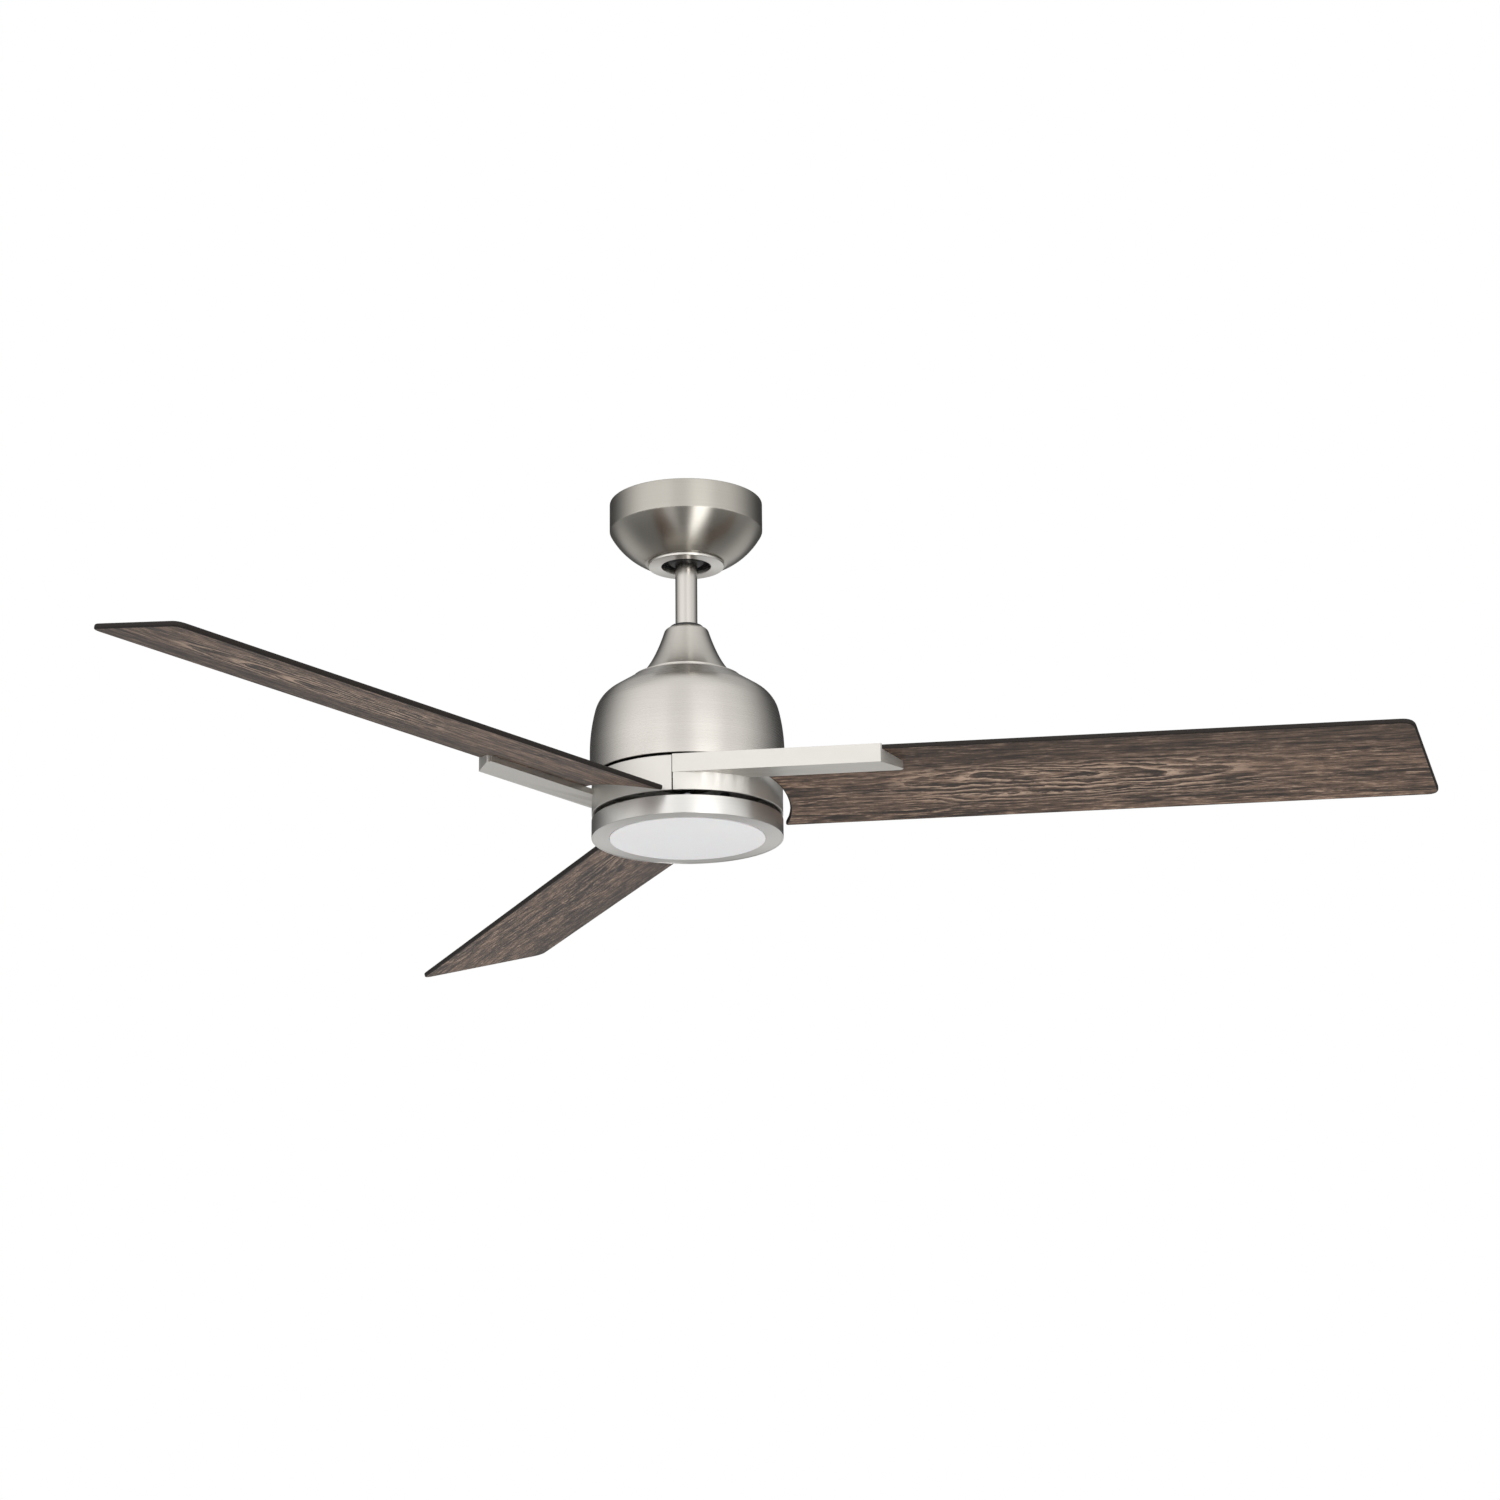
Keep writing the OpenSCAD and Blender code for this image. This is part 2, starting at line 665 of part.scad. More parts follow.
module rotor_cover_bottom() {
    color("darkgray") at_hub() difference() {
        rotate_extrude() polygon([
            [bearing_r - 3, shell_low], [arm_boss_in, shell_low], [arm_boss_in, rotor_low],
            [arm_boss_out, rotor_low], [arm_boss_out, shell_low], [rotor_r, shell_low],
            [rotor_r, shell_top], [magnet_out, shell_top], [magnet_out, shell_low + plate_t],
            [bearing_r + 5, shell_low + plate_t], [bearing_r + 5, low_bearing + bearing_w],
            [bearing_r, low_bearing + bearing_w], [bearing_r, low_bearing],
            [bearing_r - 3, low_bearing]]);
        for (i = [0:2]) rotate([0, 0, blade_azimuth + 120 * i])
            translate([0, 0, rotor_low - 1]) on_circle(arm_screw_ring, arm_screw_angles)
                cylinder(h = boss_h + 3, r = arm_screw_r);
        translate([0, 0, shell_top - 9]) on_circle(0.5 * (rotor_r + magnet_out), rotor_screw_angles)
            cylinder(h = 10, r = rotor_screw_r);
    }
}

module rotor_cover_top() {
    cap_top = shell_top + cap_t;
    boss_top = top_bearing + bearing_w + 1.5;
    vent_ring = 42;
    vent_r = 6;
    color("darkgray") at_hub() difference() {
        rotate_extrude() polygon([
            [bearing_r, shell_top], [rotor_r, shell_top], [rotor_r, cap_top - 2],
            [rotor_r - 2, cap_top], [bearing_r + 5, cap_top], [bearing_r + 5, boss_top],
            [bearing_r - 3, boss_top], [bearing_r - 3, top_bearing + bearing_w],
            [bearing_r, top_bearing + bearing_w]]);
        translate([0, 0, shell_top - 1]) on_circle(0.5 * (rotor_r + magnet_out), rotor_screw_angles)
            cylinder(h = cap_t + 2, r = rotor_screw_r + slip);
        translate([0, 0, shell_top - 1]) on_circle(vent_ring, [for (i = [0:5]) 30 + 60 * i])
            cylinder(h = cap_t + 2, r = vent_r);
    }
}

module rotor_magnets() {
    step = 360 / magnet_n;
    color("dimgray") at_hub() for (i = [0:magnet_n - 1])
        rotate_extrude(angle = step - 3, start = i * step)
            polygon([[stator_r + 1, stack_low - 1], [magnet_out, stack_low - 1],
                [magnet_out, stack_top + 1], [stator_r + 1, stack_top + 1]]);
}

module rotor_screws() {
    color("silver") at_hub() translate([0, 0, shell_top + cap_t])
        on_circle(0.5 * (rotor_r + magnet_out), rotor_screw_angles)
            screw(cap_t + 8, r = rotor_screw_r, head = 2.6, height = 1.6);
}

// ---------- blade arms and blades ----------
// In an arm's own frame +X runs out along the blade, the leading edge is at -Y,
// and the band's third reaches from -90 to +30 degrees.

module for_arm(i) { at_hub() rotate([0, 0, blade_azimuth + 120 * i]) children(); }

// The frame of a blade's underside, tipped by the pitch
module on_bed() { rotate([-blade_pitch, 0, 0]) translate([0, 0, bed_z]) children(); }
function bed_y(t) = (-t - bed_z * sin(blade_pitch)) / cos(blade_pitch);

module arm_plan() {
    edge_x = sqrt(pow(band_r - 1, 2) - pow(arm_edge, 2));
    apex = [arm_len + arm_skew, -arm_edge];
    heel = [arm_len, -band_r];
    polygon(concat([[0, -band_r], heel], round_corner(heel, apex, [edge_x, -arm_edge], 4),
        arc([0, 0], band_r - 1, -atan2(arm_edge, edge_x), -90, 12)));
}

module blade_arm(i) {
    seam = asin(seam_gap / 2 / band_r);
    half = band_h / 2;
    color("silver") for_arm(i) difference() {
        union() {
            rotate_extrude(angle = 120 - 2 * seam, start = -90 + seam) polygon([
                [arm_flange_in, flange_low], [band_r - band_wall, flange_low],
                [band_r - band_wall, -half], [band_r - 0.4, -half], [band_r, -half + 0.4],
                [band_r, half - 0.4], [band_r - 0.4, half], [arm_flange_in, half]]);
            difference() {
                linear_extrude(wall_top) arm_plan();
                // bed of the blade
                translate([-1, 0, 0]) rotate([90, 0, 90]) linear_extrude(arm_len + arm_skew + 9)
                    polygon([[-blade_front - 0.2, rise(blade_front + 0.2)], [0, rise(0)],
                        [0, wall_top + 9], [-blade_front - 0.2, wall_top + 9]]);
            }
        }
        on_circle(arm_screw_ring, arm_screw_angles) translate([0, 0, flange_low - 1])
            cylinder(h = arm_flange_t + 2, r = arm_screw_r + slip);
        for (s = blade_screw_s) on_bed() translate([s, bed_y(blade_screw_t), -blade_screw_depth])
            cylinder(h = blade_screw_depth + 2, r = blade_screw_r);
    }
}

module arm_screws() {
    color("dimgray") for (i = [0:2]) for_arm(i)
        on_circle(arm_screw_ring, arm_screw_angles) translate([0, 0, flange_low])
            mirror([0, 0, 1]) screw(arm_flange_t + boss_h - 0.5, r = arm_screw_r, head = 4.6, height = 2.8);
}

// Outline of a blade in the frame of its bed
function blade_outline() =
    let (front = bed_y(blade_front),
         back = bed_y(-blade_back),
         tip_front = [blade_len - tip_slant, front],
         tip_back = [blade_len, back],
         a_back = asin(blade_back / root_r),
         a_front = -asin(blade_front / root_r),
         hollow = [for (i = [0:24]) let (a = a_back + (a_front - a_back) * i / 24)
             [root_r * cos(a), bed_y(-root_r * sin(a))]])
    concat(round_corner([0, front], tip_front, tip_back, tip_corner_r),
        round_corner(tip_front, tip_back, [0, back], tip_corner_r),
        round_corner(tip_back, hollow[0], hollow[3], root_corner_r),
        [for (i = [3:24]) hollow[i]]);

module blade(i) {
    color("sienna") for_arm(i) on_bed() difference() {
        linear_extrude(blade_t) polygon(blade_outline());
        for (s = blade_screw_s) translate([s, bed_y(blade_screw_t), -1])
            cylinder(h = blade_t + 2, r = blade_screw_r + slip);
    }
}

module blade_screws(i) {
    color("silver") for_arm(i) on_bed() for (s = blade_screw_s)
        translate([s, bed_y(blade_screw_t), blade_t])
            screw(blade_t + blade_screw_depth - 0.5, r = blade_screw_r, head = 4.8, height = 2.4);
}

// ---------- light ----------

module light_mount_plate() {
    color("gainsboro") at_hub() difference() {
        rod_between(plate_low, light_top, light_r - light_wall - see_gap);
        rod_between(plate_low - 1, light_top + 1, shaft_r + slip);
        translate([0, 0, plate_low - 1]) {
            on_circle(boss_r, boss_angles) cylinder(h = light_plate_t + 2, r = screw_r + slip);
            on_circle(plate_screw_ring, boss_angles) cylinder(h = light_plate_t + 2, r = screw_r);
            for (s = [-1, 1]) translate([s * driver_hole_x, driver_mid_y, 0])
                cylinder(h = light_plate_t + 2, r = screw_r);
            translate([0, lead_hole_y, 0]) cylinder(h = light_plate_t + 2, r = lead_hole_r);
        }
    }
}

module shaft_nuts() {
    color("silver") at_hub() for (z = [light_top, plate_low - nut_t]) difference() {
        translate([0, 0, z]) cylinder(h = nut_t, r = nut_r, $fn = 6);
        rod_between(z - 1, z + nut_t + 1, shaft_r);
    }
}

module light_plate_screws() {
    color("dimgray") at_hub() translate([0, 0, light_top]) on_circle(boss_r, boss_angles) screw(9);
}

module led_driver() {
    tabs = [driver_size[0] + 2 * driver_tab[0], driver_tab[1], driver_tab[2]];
    color("whitesmoke") at_hub() translate([0, driver_mid_y, light_top]) {
        translate([-driver_size[0] / 2, -driver_size[1] / 2, 0]) chamfer_box(driver_size);
        difference() {
            translate([-tabs[0] / 2, -tabs[1] / 2, 0]) cube(tabs);
            for (s = [-1, 1]) translate([s * driver_hole_x, 0, -1])
                cylinder(h = driver_tab[2] + 2, r = screw_r + slip);
        }
    }
}

module driver_screws() {
    color("dimgray") at_hub() for (s = [-1, 1])
        translate([s * driver_hole_x, driver_mid_y, light_top + driver_tab[2]])
            screw(driver_tab[2] + light_plate_t);
}

// Plug and socket that let the light come off the motor
module light_connector() {
    socket = [16, 12, 9];
    plug = [15, 10, 7];
    color("white") at_hub() translate([0, plug_mid_y, light_top]) {
        translate([-socket[0], -socket[1] / 2, 0]) chamfer_box(socket, 1);
        translate([0, -plug[1] / 2, (socket[2] - plug[2]) / 2]) chamfer_box(plug, 1);
    }
}

module reflector() {
    hole = nut_r + 2;
    flat_low = plate_low - reflector_t;
    rim_r = lens_flange_r - 0.5;
    color("white") at_hub() difference() {
        rotate_extrude() polygon([[hole, plate_low], [reflector_flat_r, plate_low],
            [rim_r, lens_flange_top], [rim_r - 1.4, lens_flange_top],
            [reflector_flat_r - 0.8, flat_low], [hole, flat_low]]);
        translate([0, 0, flat_low - 1]) on_circle(plate_screw_ring, boss_angles)
            cylinder(h = 3, r = screw_r + slip);
    }
}

module led_board() {
    top = plate_low - reflector_t;
    color("white") at_hub() difference() {
        ring(top - board_t, top, nut_r + 6, board_r);
        translate([0, 0, top - board_t - 1]) on_circle(plate_screw_ring, boss_angles)
            cylinder(h = 4, r = screw_r + slip);
    }
}

module led_chips() {
    top = plate_low - reflector_t - board_t;
    size = [3.5, 2.8, 0.8];
    color("gold") at_hub() translate([0, 0, top - size[2]]) {
        on_circle(board_r - 6, [for (i = [0:chip_n - 1]) i * 360 / chip_n])
            translate([-size[0] / 2, -size[1] / 2, 0]) cube(size);
        on_circle(board_r - 26, [for (i = [0:chip_n / 2 - 1]) i * 720 / chip_n])
            translate([-size[0] / 2, -size[1] / 2, 0]) cube(size);
    }
}

module reflector_screws() {
    stack = board_t + reflector_t + light_plate_t;
    color("silver") at_hub() translate([0, 0, plate_low - reflector_t - board_t])
        on_circle(plate_screw_ring, boss_angles) mirror([0, 0, 1]) screw(stack + 2);
}

module light_ring() {
    inner = light_r - light_wall;
    color("silver") at_hub() difference() {
        union() {
            rotate_extrude() polygon([[lens_open_r, light_low + 0.3], [lens_open_r + 0.3, light_low],
                [light_r - 0.5, light_low], [light_r, light_low + 0.5], [light_r, light_top - 0.4],
                [light_r - 0.4, light_top], [inner, light_top], [inner, light_low + light_wall],
                [lens_open_r, light_low + light_wall]]);
            on_circle(boss_r, boss_angles) rod_between(light_low + light_wall / 2, plate_low, 4.5);
        }
        on_circle(boss_r, boss_angles) rod_between(plate_low - 9, plate_low + 1, screw_r);
    }
}

module lens() {
    face_r = lens_open_r - 0.25;
    seat = light_low + light_wall;
    color("white", 0.9) at_hub() rotate_extrude() polygon([
        [0, lens_low], [face_r - 0.6, lens_low], [face_r, lens_low + 0.6], [face_r, seat],
        [lens_flange_r, seat], [lens_flange_r, lens_flange_top], [face_r - lens_t, lens_flange_top],
        [face_r - lens_t, lens_low + lens_t], [0, lens_low + lens_t]]);
}

// ---------- drawing ----------

hanger_bracket();
ground_screw();
canopy();
canopy_screws();
canopy_ring();
remote_receiver();
ball_seat_liner();
hanger_ball();
ball_cross_pin();
ball_set_screw();
downrod();
downrod_pin();
spring_clip();
coupling_yoke();
yoke_set_screws();
coupling_cover();
rod_seal();
motor_housing();
housing_screws();
motor_shaft();
stator_core();
stator_coils();
bearing_inner_rings();
lead_wires();
shaft_nuts();
light_mount_plate();
light_plate_screws();
led_driver();
driver_screws();
light_connector();
reflector();
reflector_screws();
led_board();
led_chips();
light_ring();
lens();
rotor_cover_top();
rotor_cover_bottom();
rotor_magnets();
rotor_screws();
bearing_outer_rings();
bearing_balls();
blade_arm(0);  // blade_arm_1
blade_arm(1);  // blade_arm_2
blade_arm(2);  // blade_arm_3
arm_screws();
blade(0);  // blade_1
blade(1);  // blade_2
blade(2);  // blade_3
blade_screws(0);  // blade_screws_1
blade_screws(1);  // blade_screws_2
blade_screws(2);  // blade_screws_3
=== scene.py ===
"""Looks of a three-blade ceiling fan with a disc light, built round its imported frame.

Metres, in the frame's own axes: the origin is on the fan's axis at the ceiling plane and +Z is up.
"""

import math

import bmesh
import bpy
import numpy as np
from mathutils import Matrix, Vector


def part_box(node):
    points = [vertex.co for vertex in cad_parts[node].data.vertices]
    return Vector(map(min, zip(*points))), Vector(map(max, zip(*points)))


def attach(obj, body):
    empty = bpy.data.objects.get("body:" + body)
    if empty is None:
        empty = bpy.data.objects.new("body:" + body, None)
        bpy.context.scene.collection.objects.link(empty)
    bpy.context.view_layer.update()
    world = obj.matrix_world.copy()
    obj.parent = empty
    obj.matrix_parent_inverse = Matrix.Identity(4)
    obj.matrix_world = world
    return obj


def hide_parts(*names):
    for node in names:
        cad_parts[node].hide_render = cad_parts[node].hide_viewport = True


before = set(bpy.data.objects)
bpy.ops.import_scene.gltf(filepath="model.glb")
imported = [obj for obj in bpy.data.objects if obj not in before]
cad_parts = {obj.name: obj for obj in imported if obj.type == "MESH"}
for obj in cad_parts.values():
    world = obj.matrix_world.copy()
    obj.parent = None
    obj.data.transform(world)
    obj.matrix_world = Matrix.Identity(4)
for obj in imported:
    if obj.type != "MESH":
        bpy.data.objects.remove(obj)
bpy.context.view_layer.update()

# Shapes are worked out in millimetres and degrees, and MM turns them into metres. The beds of
# the blades lie BLADE_DROP below the middle of the hub band, which has a gap on either side.
MM = 0.001
TURNS = 240
SHARP_ANGLE = 35
BLADE_AZIMUTHS = (-8.9, 111.1, 231.1)
BLADE_PITCH = 13.8
BLADE_THICK = 4.8
BLADE_DROP = 9.0
ARM_LENGTH = 195.7
GAP_UNDER_BAND = 4.9
GAP_OVER_BAND = 1.85


# ---------- places and sizes, from the frame ----------

def top_of(node):
    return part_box(node)[1].z / MM


def foot_of(node):
    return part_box(node)[0].z / MM


def radius_of(node):
    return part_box(node)[1].x / MM


# ---------- outlines, in millimetres ----------

def arc(centre, radius, start, end, count):
    """Points centre + radius (cos a, sin a), with a going evenly from start to end."""
    a = np.radians(np.linspace(start, end, count))
    return np.stack([centre[0] + radius * np.cos(a), centre[1] + radius * np.sin(a)], 1)


def eased(path, radius, count=5, closed=True, least_turn=14):
    """A path whose corners are rounded: each becomes (1-t)^2 a + 2t(1-t) p + t^2 b, where a and b
    lie on the corner's two edges, radius away from the corner p, or 0.45 of the edge if that is
    less. Corners that turn by less than least_turn stay."""
    path = np.asarray(path, float)
    before, after = np.roll(path, 1, 0) - path, np.roll(path, -1, 0) - path
    len_b, len_a = np.linalg.norm(before, axis=1), np.linalg.norm(after, axis=1)
    u, v = before / len_b[:, None], after / len_a[:, None]
    turn = np.degrees(np.arccos(np.clip(-(u * v).sum(1), -1, 1)))
    bends = turn > least_turn
    if not closed:
        bends[[0, -1]] = False
    a = path + u * np.minimum(radius, 0.45 * len_b)[:, None]
    b = path + v * np.minimum(radius, 0.45 * len_a)[:, None]
    t = np.linspace(0, 1, count)[:, None]
    pieces = [(1 - t) ** 2 * a[k] + 2 * t * (1 - t) * path[k] + t ** 2 * b[k] if bends[k]
              else path[k:k + 1] for k in range(len(path))]
    return np.concatenate(pieces)


def inset(path, depth):
    """A path moved to its left by depth, along its own normals."""
    tangent = np.gradient(path, axis=0)
    tangent /= np.linalg.norm(tangent, axis=1)[:, None]
    return path + depth * np.stack([-tangent[:, 1], tangent[:, 0]], 1)


# ---------- meshes ----------

def grid_faces(rows, cols, wrap_rows, wrap_cols):
    """Quads of a grid whose point (i, j) is number i * cols + j. A wrapped side meets itself."""
    i, j = np.meshgrid(np.arange(rows - (not wrap_rows)), np.arange(cols - (not wrap_cols)),
                       indexing="ij")
    ahead, beside = (i + 1) % rows, (j + 1) % cols
    quads = [i * cols + j, ahead * cols + j, ahead * cols + beside, i * cols + beside]
    return np.stack(quads, -1).reshape(-1, 4)


def turned(outline, centre=(0, 0), turns=TURNS):
    """An outline of (radius, height) carried once round an upright axis: the point (r, z) at the
    angle t goes to (r cos t, r sin t, z). Returns points in metres and faces that look outwards."""
    outline = np.asarray(outline, float)
    r, z = outline.T
    around = 0.5 * np.sum(r * np.roll(z, -1) - z * np.roll(r, -1))
    if around < 0:
        r, z = r[::-1], z[::-1]
    t = np.linspace(0, 2 * np.pi, turns, endpoint=False)[:, None]
    points = np.stack([centre[0] + r * np.cos(t), centre[1] + r * np.sin(t), z + 0 * t], -1)
    on_axis = r[0] < 1e-6 and r[-1] < 1e-6
    return points.reshape(-1, 3) * MM, grid_faces(turns, len(r), True, not on_axis)


def joined(*parts):
    """Several (points, faces) put into one."""
    counts = np.cumsum([0] + [len(p) for p, _ in parts[:-1]])
    return (np.concatenate([p for p, _ in parts]),
            [list(f + n) for (_, faces), n in zip(parts, counts) for f in faces])


def linked(name, data):
    """A new object that shows a mesh or a camera."""
    thing = bpy.data.objects.new(name, data)
    bpy.context.scene.collection.objects.link(thing)
    return thing


def piece(name, shape, body, finish, stands_for):
    """A mesh object from (points, faces), with its poles and seams merged."""
    points, faces = shape
    mesh = bpy.data.meshes.new(name)
    mesh.from_pydata(np.asarray(points).tolist(), [], [list(map(int, f)) for f in faces])
    bm = bmesh.new()
    bm.from_mesh(mesh)
    bmesh.ops.remove_doubles(bm, verts=bm.verts, dist=1e-7)
    bm.to_mesh(mesh)
    bm.free()
    mesh.materials.append(finish)
    mesh.shade_smooth()
    mesh.set_sharp_from_angle(angle=math.radians(SHARP_ANGLE))
    thing = linked(name, mesh)
    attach(thing, body)
    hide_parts(*stands_for)
    return thing


# ---------- shader trees ----------

def colour(red, green, blue):
    """A colour given in the 0 to 255 steps of a paint chart, as linear light."""
    c = np.array([red, green, blue]) / 255
    return (*np.where(c <= 0.04045, c / 12.92, ((c + 0.055) / 1.055) ** 2.4), 1.0)


class Socket:
    """An output socket of a shader tree; arithmetic on it adds Math nodes."""

    def __init__(self, tree, socket):
        self.tree, self.socket = tree, socket

    def __add__(self, other):
        return self.tree.math("ADD", self, other)

    def __sub__(self, other):
        return self.tree.math("SUBTRACT", self, other)

    def __rsub__(self, other):
        return self.tree.math("SUBTRACT", other, self)

    def __mul__(self, other):
        return self.tree.math("MULTIPLY", self, other)

    def __truediv__(self, other):
        return self.tree.math("DIVIDE", self, other)

    __radd__ = __add__
    __rmul__ = __mul__


class Tree:
    """A material's or world's node tree, built by calls."""

    def __init__(self, node_tree):
        self.node_tree = node_tree
        node_tree.nodes.clear()

    def add(self, kind, settings=None, inputs=None, out=0):
        """A node of a kind: its settings are set first, then the values or links of its sockets."""
        node = self.node_tree.nodes.new(kind)
        for key, value in (settings or {}).items():
            setattr(node, key, value)
        for key, value in (inputs or {}).items():
            if isinstance(value, Socket):
                self.node_tree.links.new(value.socket, node.inputs[key])
            else:
                node.inputs[key].default_value = value
        return Socket(self, node.outputs[out]) if node.outputs else None

    def math(self, operation, *values):
        return self.add("ShaderNodeMath", {"operation": operation}, dict(enumerate(values)))

    def length(self, x, y):
        """The distance from the axis of the place (x, y)."""
        return self.math("SQRT", x * x + y * y)

    def ease(self, value, start, end, low=0.0, high=1.0):
        """Goes smoothly from low to high as value goes from start to end."""
        return self.add("ShaderNodeMapRange", {"interpolation_type": "SMOOTHSTEP"},
                        {0: value, 1: start, 2: end, 3: low, 4: high})

    def mix(self, factor, a, b):
        """Colour a where factor is 0 and colour b where it is 1."""
        return self.add("ShaderNodeMix", {"data_type": "RGBA"}, {0: factor, 6: a, 7: b}, out=2)

    def vector(self, x, y, z):
        return self.add("ShaderNodeCombineXYZ", None, {0: x, 1: y, 2: z})

    def parts(self, vector):
        node = self.add("ShaderNodeSeparateXYZ", None, {0: vector}).socket.node
        return [Socket(self, out) for out in node.outputs]

    def noise(self, vector, scale, detail=2.0, roughness=0.5, w=None):
        settings = {"noise_dimensions": "3D" if w is None else "4D"}
        inputs = {"Vector": vector, "Scale": scale, "Detail": detail, "Roughness": roughness}
        if w is not None:
            inputs["W"] = w
        return self.add("ShaderNodeTexNoise", settings, inputs)

    def place(self):
        """The object's own coordinates, in metres."""
        return self.add("ShaderNodeTexCoord", out=3)

    def bump(self, height, strength, depth):
        return self.add("ShaderNodeBump", None,
                        {"Strength": strength, "Distance": depth, "Height": height})

    def surface(self, **sockets):
        """The principled shader, joined to the material's output."""
        shader = self.add("ShaderNodeBsdfPrincipled", None,
                          {key.replace("_", " "): value for key, value in sockets.items()})
        self.add("ShaderNodeOutputMaterial", None, {0: shader})


def paint(name):
    """A new material and its empty tree."""
    material = bpy.data.materials.new(name)
    material.use_nodes = True
    return material, Tree(material.node_tree)


# ---------- finishes ----------

def scaled(tone, factor):
    """A paint-chart colour made darker or lighter."""
    return colour(*(c * factor for c in tone))


def spun_nickel(name, tone, gloss=0.3):
    """Satin nickel brushed while it spins: fine rings round the axis, from noise that is very long
    round the axis and very short along the radius and the height."""
    material, t = paint(name)
    x, y, z = t.parts(t.place())
    r = t.length(x, y)
    round_x, round_y = x / (r + 0.0005), y / (r + 0.0005)
    rings = t.noise(t.vector(round_x * 1.3, round_y * 1.3, r * 2600.0), 1.0, 3.0, 0.6, z * 2600.0)
    bands = t.noise(t.vector(round_x * 0.7, round_y * 0.7, r * 420.0), 1.0, 2.0, 0.5, z * 420.0)
    haze = t.noise(t.place(), 22.0, 3.0)
    wear = t.ease(rings * 0.8 + bands * 0.2, 0.3, 0.7)
    t.surface(Base_Color=t.mix(wear, scaled(tone, 0.985), scaled(tone, 1.015)), Metallic=1.0,
              Roughness=(gloss - 0.01) + wear * 0.01 + haze * 0.02,
              Anisotropic=0.82, Anisotropic_Rotation=0.25,
              Normal=t.bump(rings, 0.01, 0.00001))
    return material


def drawn_nickel():
    """Satin nickel on a drawn tube: faint lines that run the length of the tube."""
    material, t = paint("drawn_nickel")
    x, y, z = t.parts(t.place())
    lines = t.noise(t.vector(x * 320.0, y * 320.0, z * 3.0), 1.0, 1.0, 0.5)
    haze = t.noise(t.place(), 30.0, 2.0)
    t.surface(Base_Color=t.mix(lines, colour(186, 182, 176), colour(198, 194, 188)), Metallic=1.0,
              Roughness=0.2 + lines * 0.03 + haze * 0.02, Normal=t.bump(lines, 0.02, 0.00002))
    return material


def cast_nickel():
    """Satin nickel plating on a casting: an even, softly mottled sheen with a fine grain."""
    material, t = paint("cast_nickel")
    grain = t.noise(t.place(), 2400.0, 3.0, 0.6)
    cloud = t.noise(t.place(), 35.0, 3.0)
    t.surface(Base_Color=t.mix(cloud, colour(206, 203, 197), colour(214, 211, 205)), Metallic=0.8,
              Roughness=0.34 + grain * 0.05 + cloud * 0.05,
              Normal=t.bump(grain, 0.12, 0.00004))
    return material


def opal_lens():
    """Frosted acrylic: milky white with a faint cloud and a fine matt grain."""
    material, t = paint("opal_lens")
    cloud = t.noise(t.place(), 18.0, 2.0)
    frost = t.noise(t.place(), 1800.0, 2.0, 0.6)
    t.surface(Base_Color=t.mix(cloud, colour(229, 228, 230), colour(233, 232, 233)),
              Roughness=0.36 + frost * 0.08, Subsurface_Weight=0.15, Subsurface_Scale=0.004,
              Normal=t.bump(frost, 0.1, 0.00004))
    return material


def weathered_wood():
    """Limed dark wood. The grain attribute holds the place along, across and through a blade.
    The figure is growth rings: a ring's size is the square root of the squared distance across
    from the pith line plus the squared depth of the cut, which changes along the blade."""
    material, t = paint("weathered_wood")
    grain = t.add("ShaderNodeAttribute", {"attribute_name": "grain"}, out=1)
    along, across, through = t.parts(grain)
    drift = t.noise(t.vector(along * 5.0, across * 22.0, through * 26.0), 1.0, 3.0) - 0.5
    ripple = t.noise(t.vector(along * 30.0, across * 70.0, through * 90.0), 1.0, 3.0) - 0.5
    y = across + drift * 0.036 + ripple * 0.012
    depth = (along - 0.37) * 0.11 + 0.004
    phase = t.math("FRACT", t.math("SQRT", y * y + depth * depth) * (1 / 0.0068))
    middle = t.ease(t.math("ABSOLUTE", along - 0.37), 0.24, 0.09)
    figure = middle * t.ease(t.math("ABSOLUTE", across - 0.008), 0.045, 0.022)
    hairs = t.noise(t.vector(along * 24.0, across * 250.0, through * 200.0), 1.0, 4.0, 0.72)
    streaks = t.noise(t.vector(along * 6.0, across * 120.0, through * 90.0), 1.0, 3.0, 0.6)
    broad = t.noise(t.vector(along * 2.6, across * 34.0, through * 30.0), 1.0, 3.0, 0.55)
    flecks = t.noise(t.vector(along * 90.0, across * 420.0, through * 400.0), 1.0, 3.0, 0.7)
    tone = t.ease(hairs * 0.5 + streaks * 0.3 + broad * 0.2, 0.40, 0.60)
    body = t.mix(tone, colour(42, 28, 20), colour(126, 100, 82))
    late = t.ease(phase, 0.45, 0.8) * t.ease(phase, 1.0, 0.9)
    body = t.mix(late * figure * 0.8, body, colour(48, 35, 27))
    lime = t.ease(hairs * 0.6 + flecks * 0.4, 0.53, 0.61)
    lime_line = t.ease(phase, 0.45, 0.1) * figure * t.ease(flecks * 0.5 + hairs * 0.5, 0.36, 0.52)
    body = t.mix(t.math("MAXIMUM", lime * 0.6, lime_line * 0.9), body, colour(182, 155, 134))
    lead_side = t.ease(across, -0.012, -0.042)
    body = t.mix(lead_side * 0.5, body, colour(58, 43, 34))
    pores = t.ease(flecks * 0.7 + hairs * 0.3, 0.49, 0.40)
    body = t.mix(pores * 0.6, body, colour(36, 26, 20))
    height = streaks * 0.4 + hairs * 0.4 - pores * 0.4
    t.surface(Base_Color=body, Roughness=0.46 + hairs * 0.12,
              Specular_IOR_Level=0.5, Normal=t.bump(height, 0.2, 0.0002))
    return material


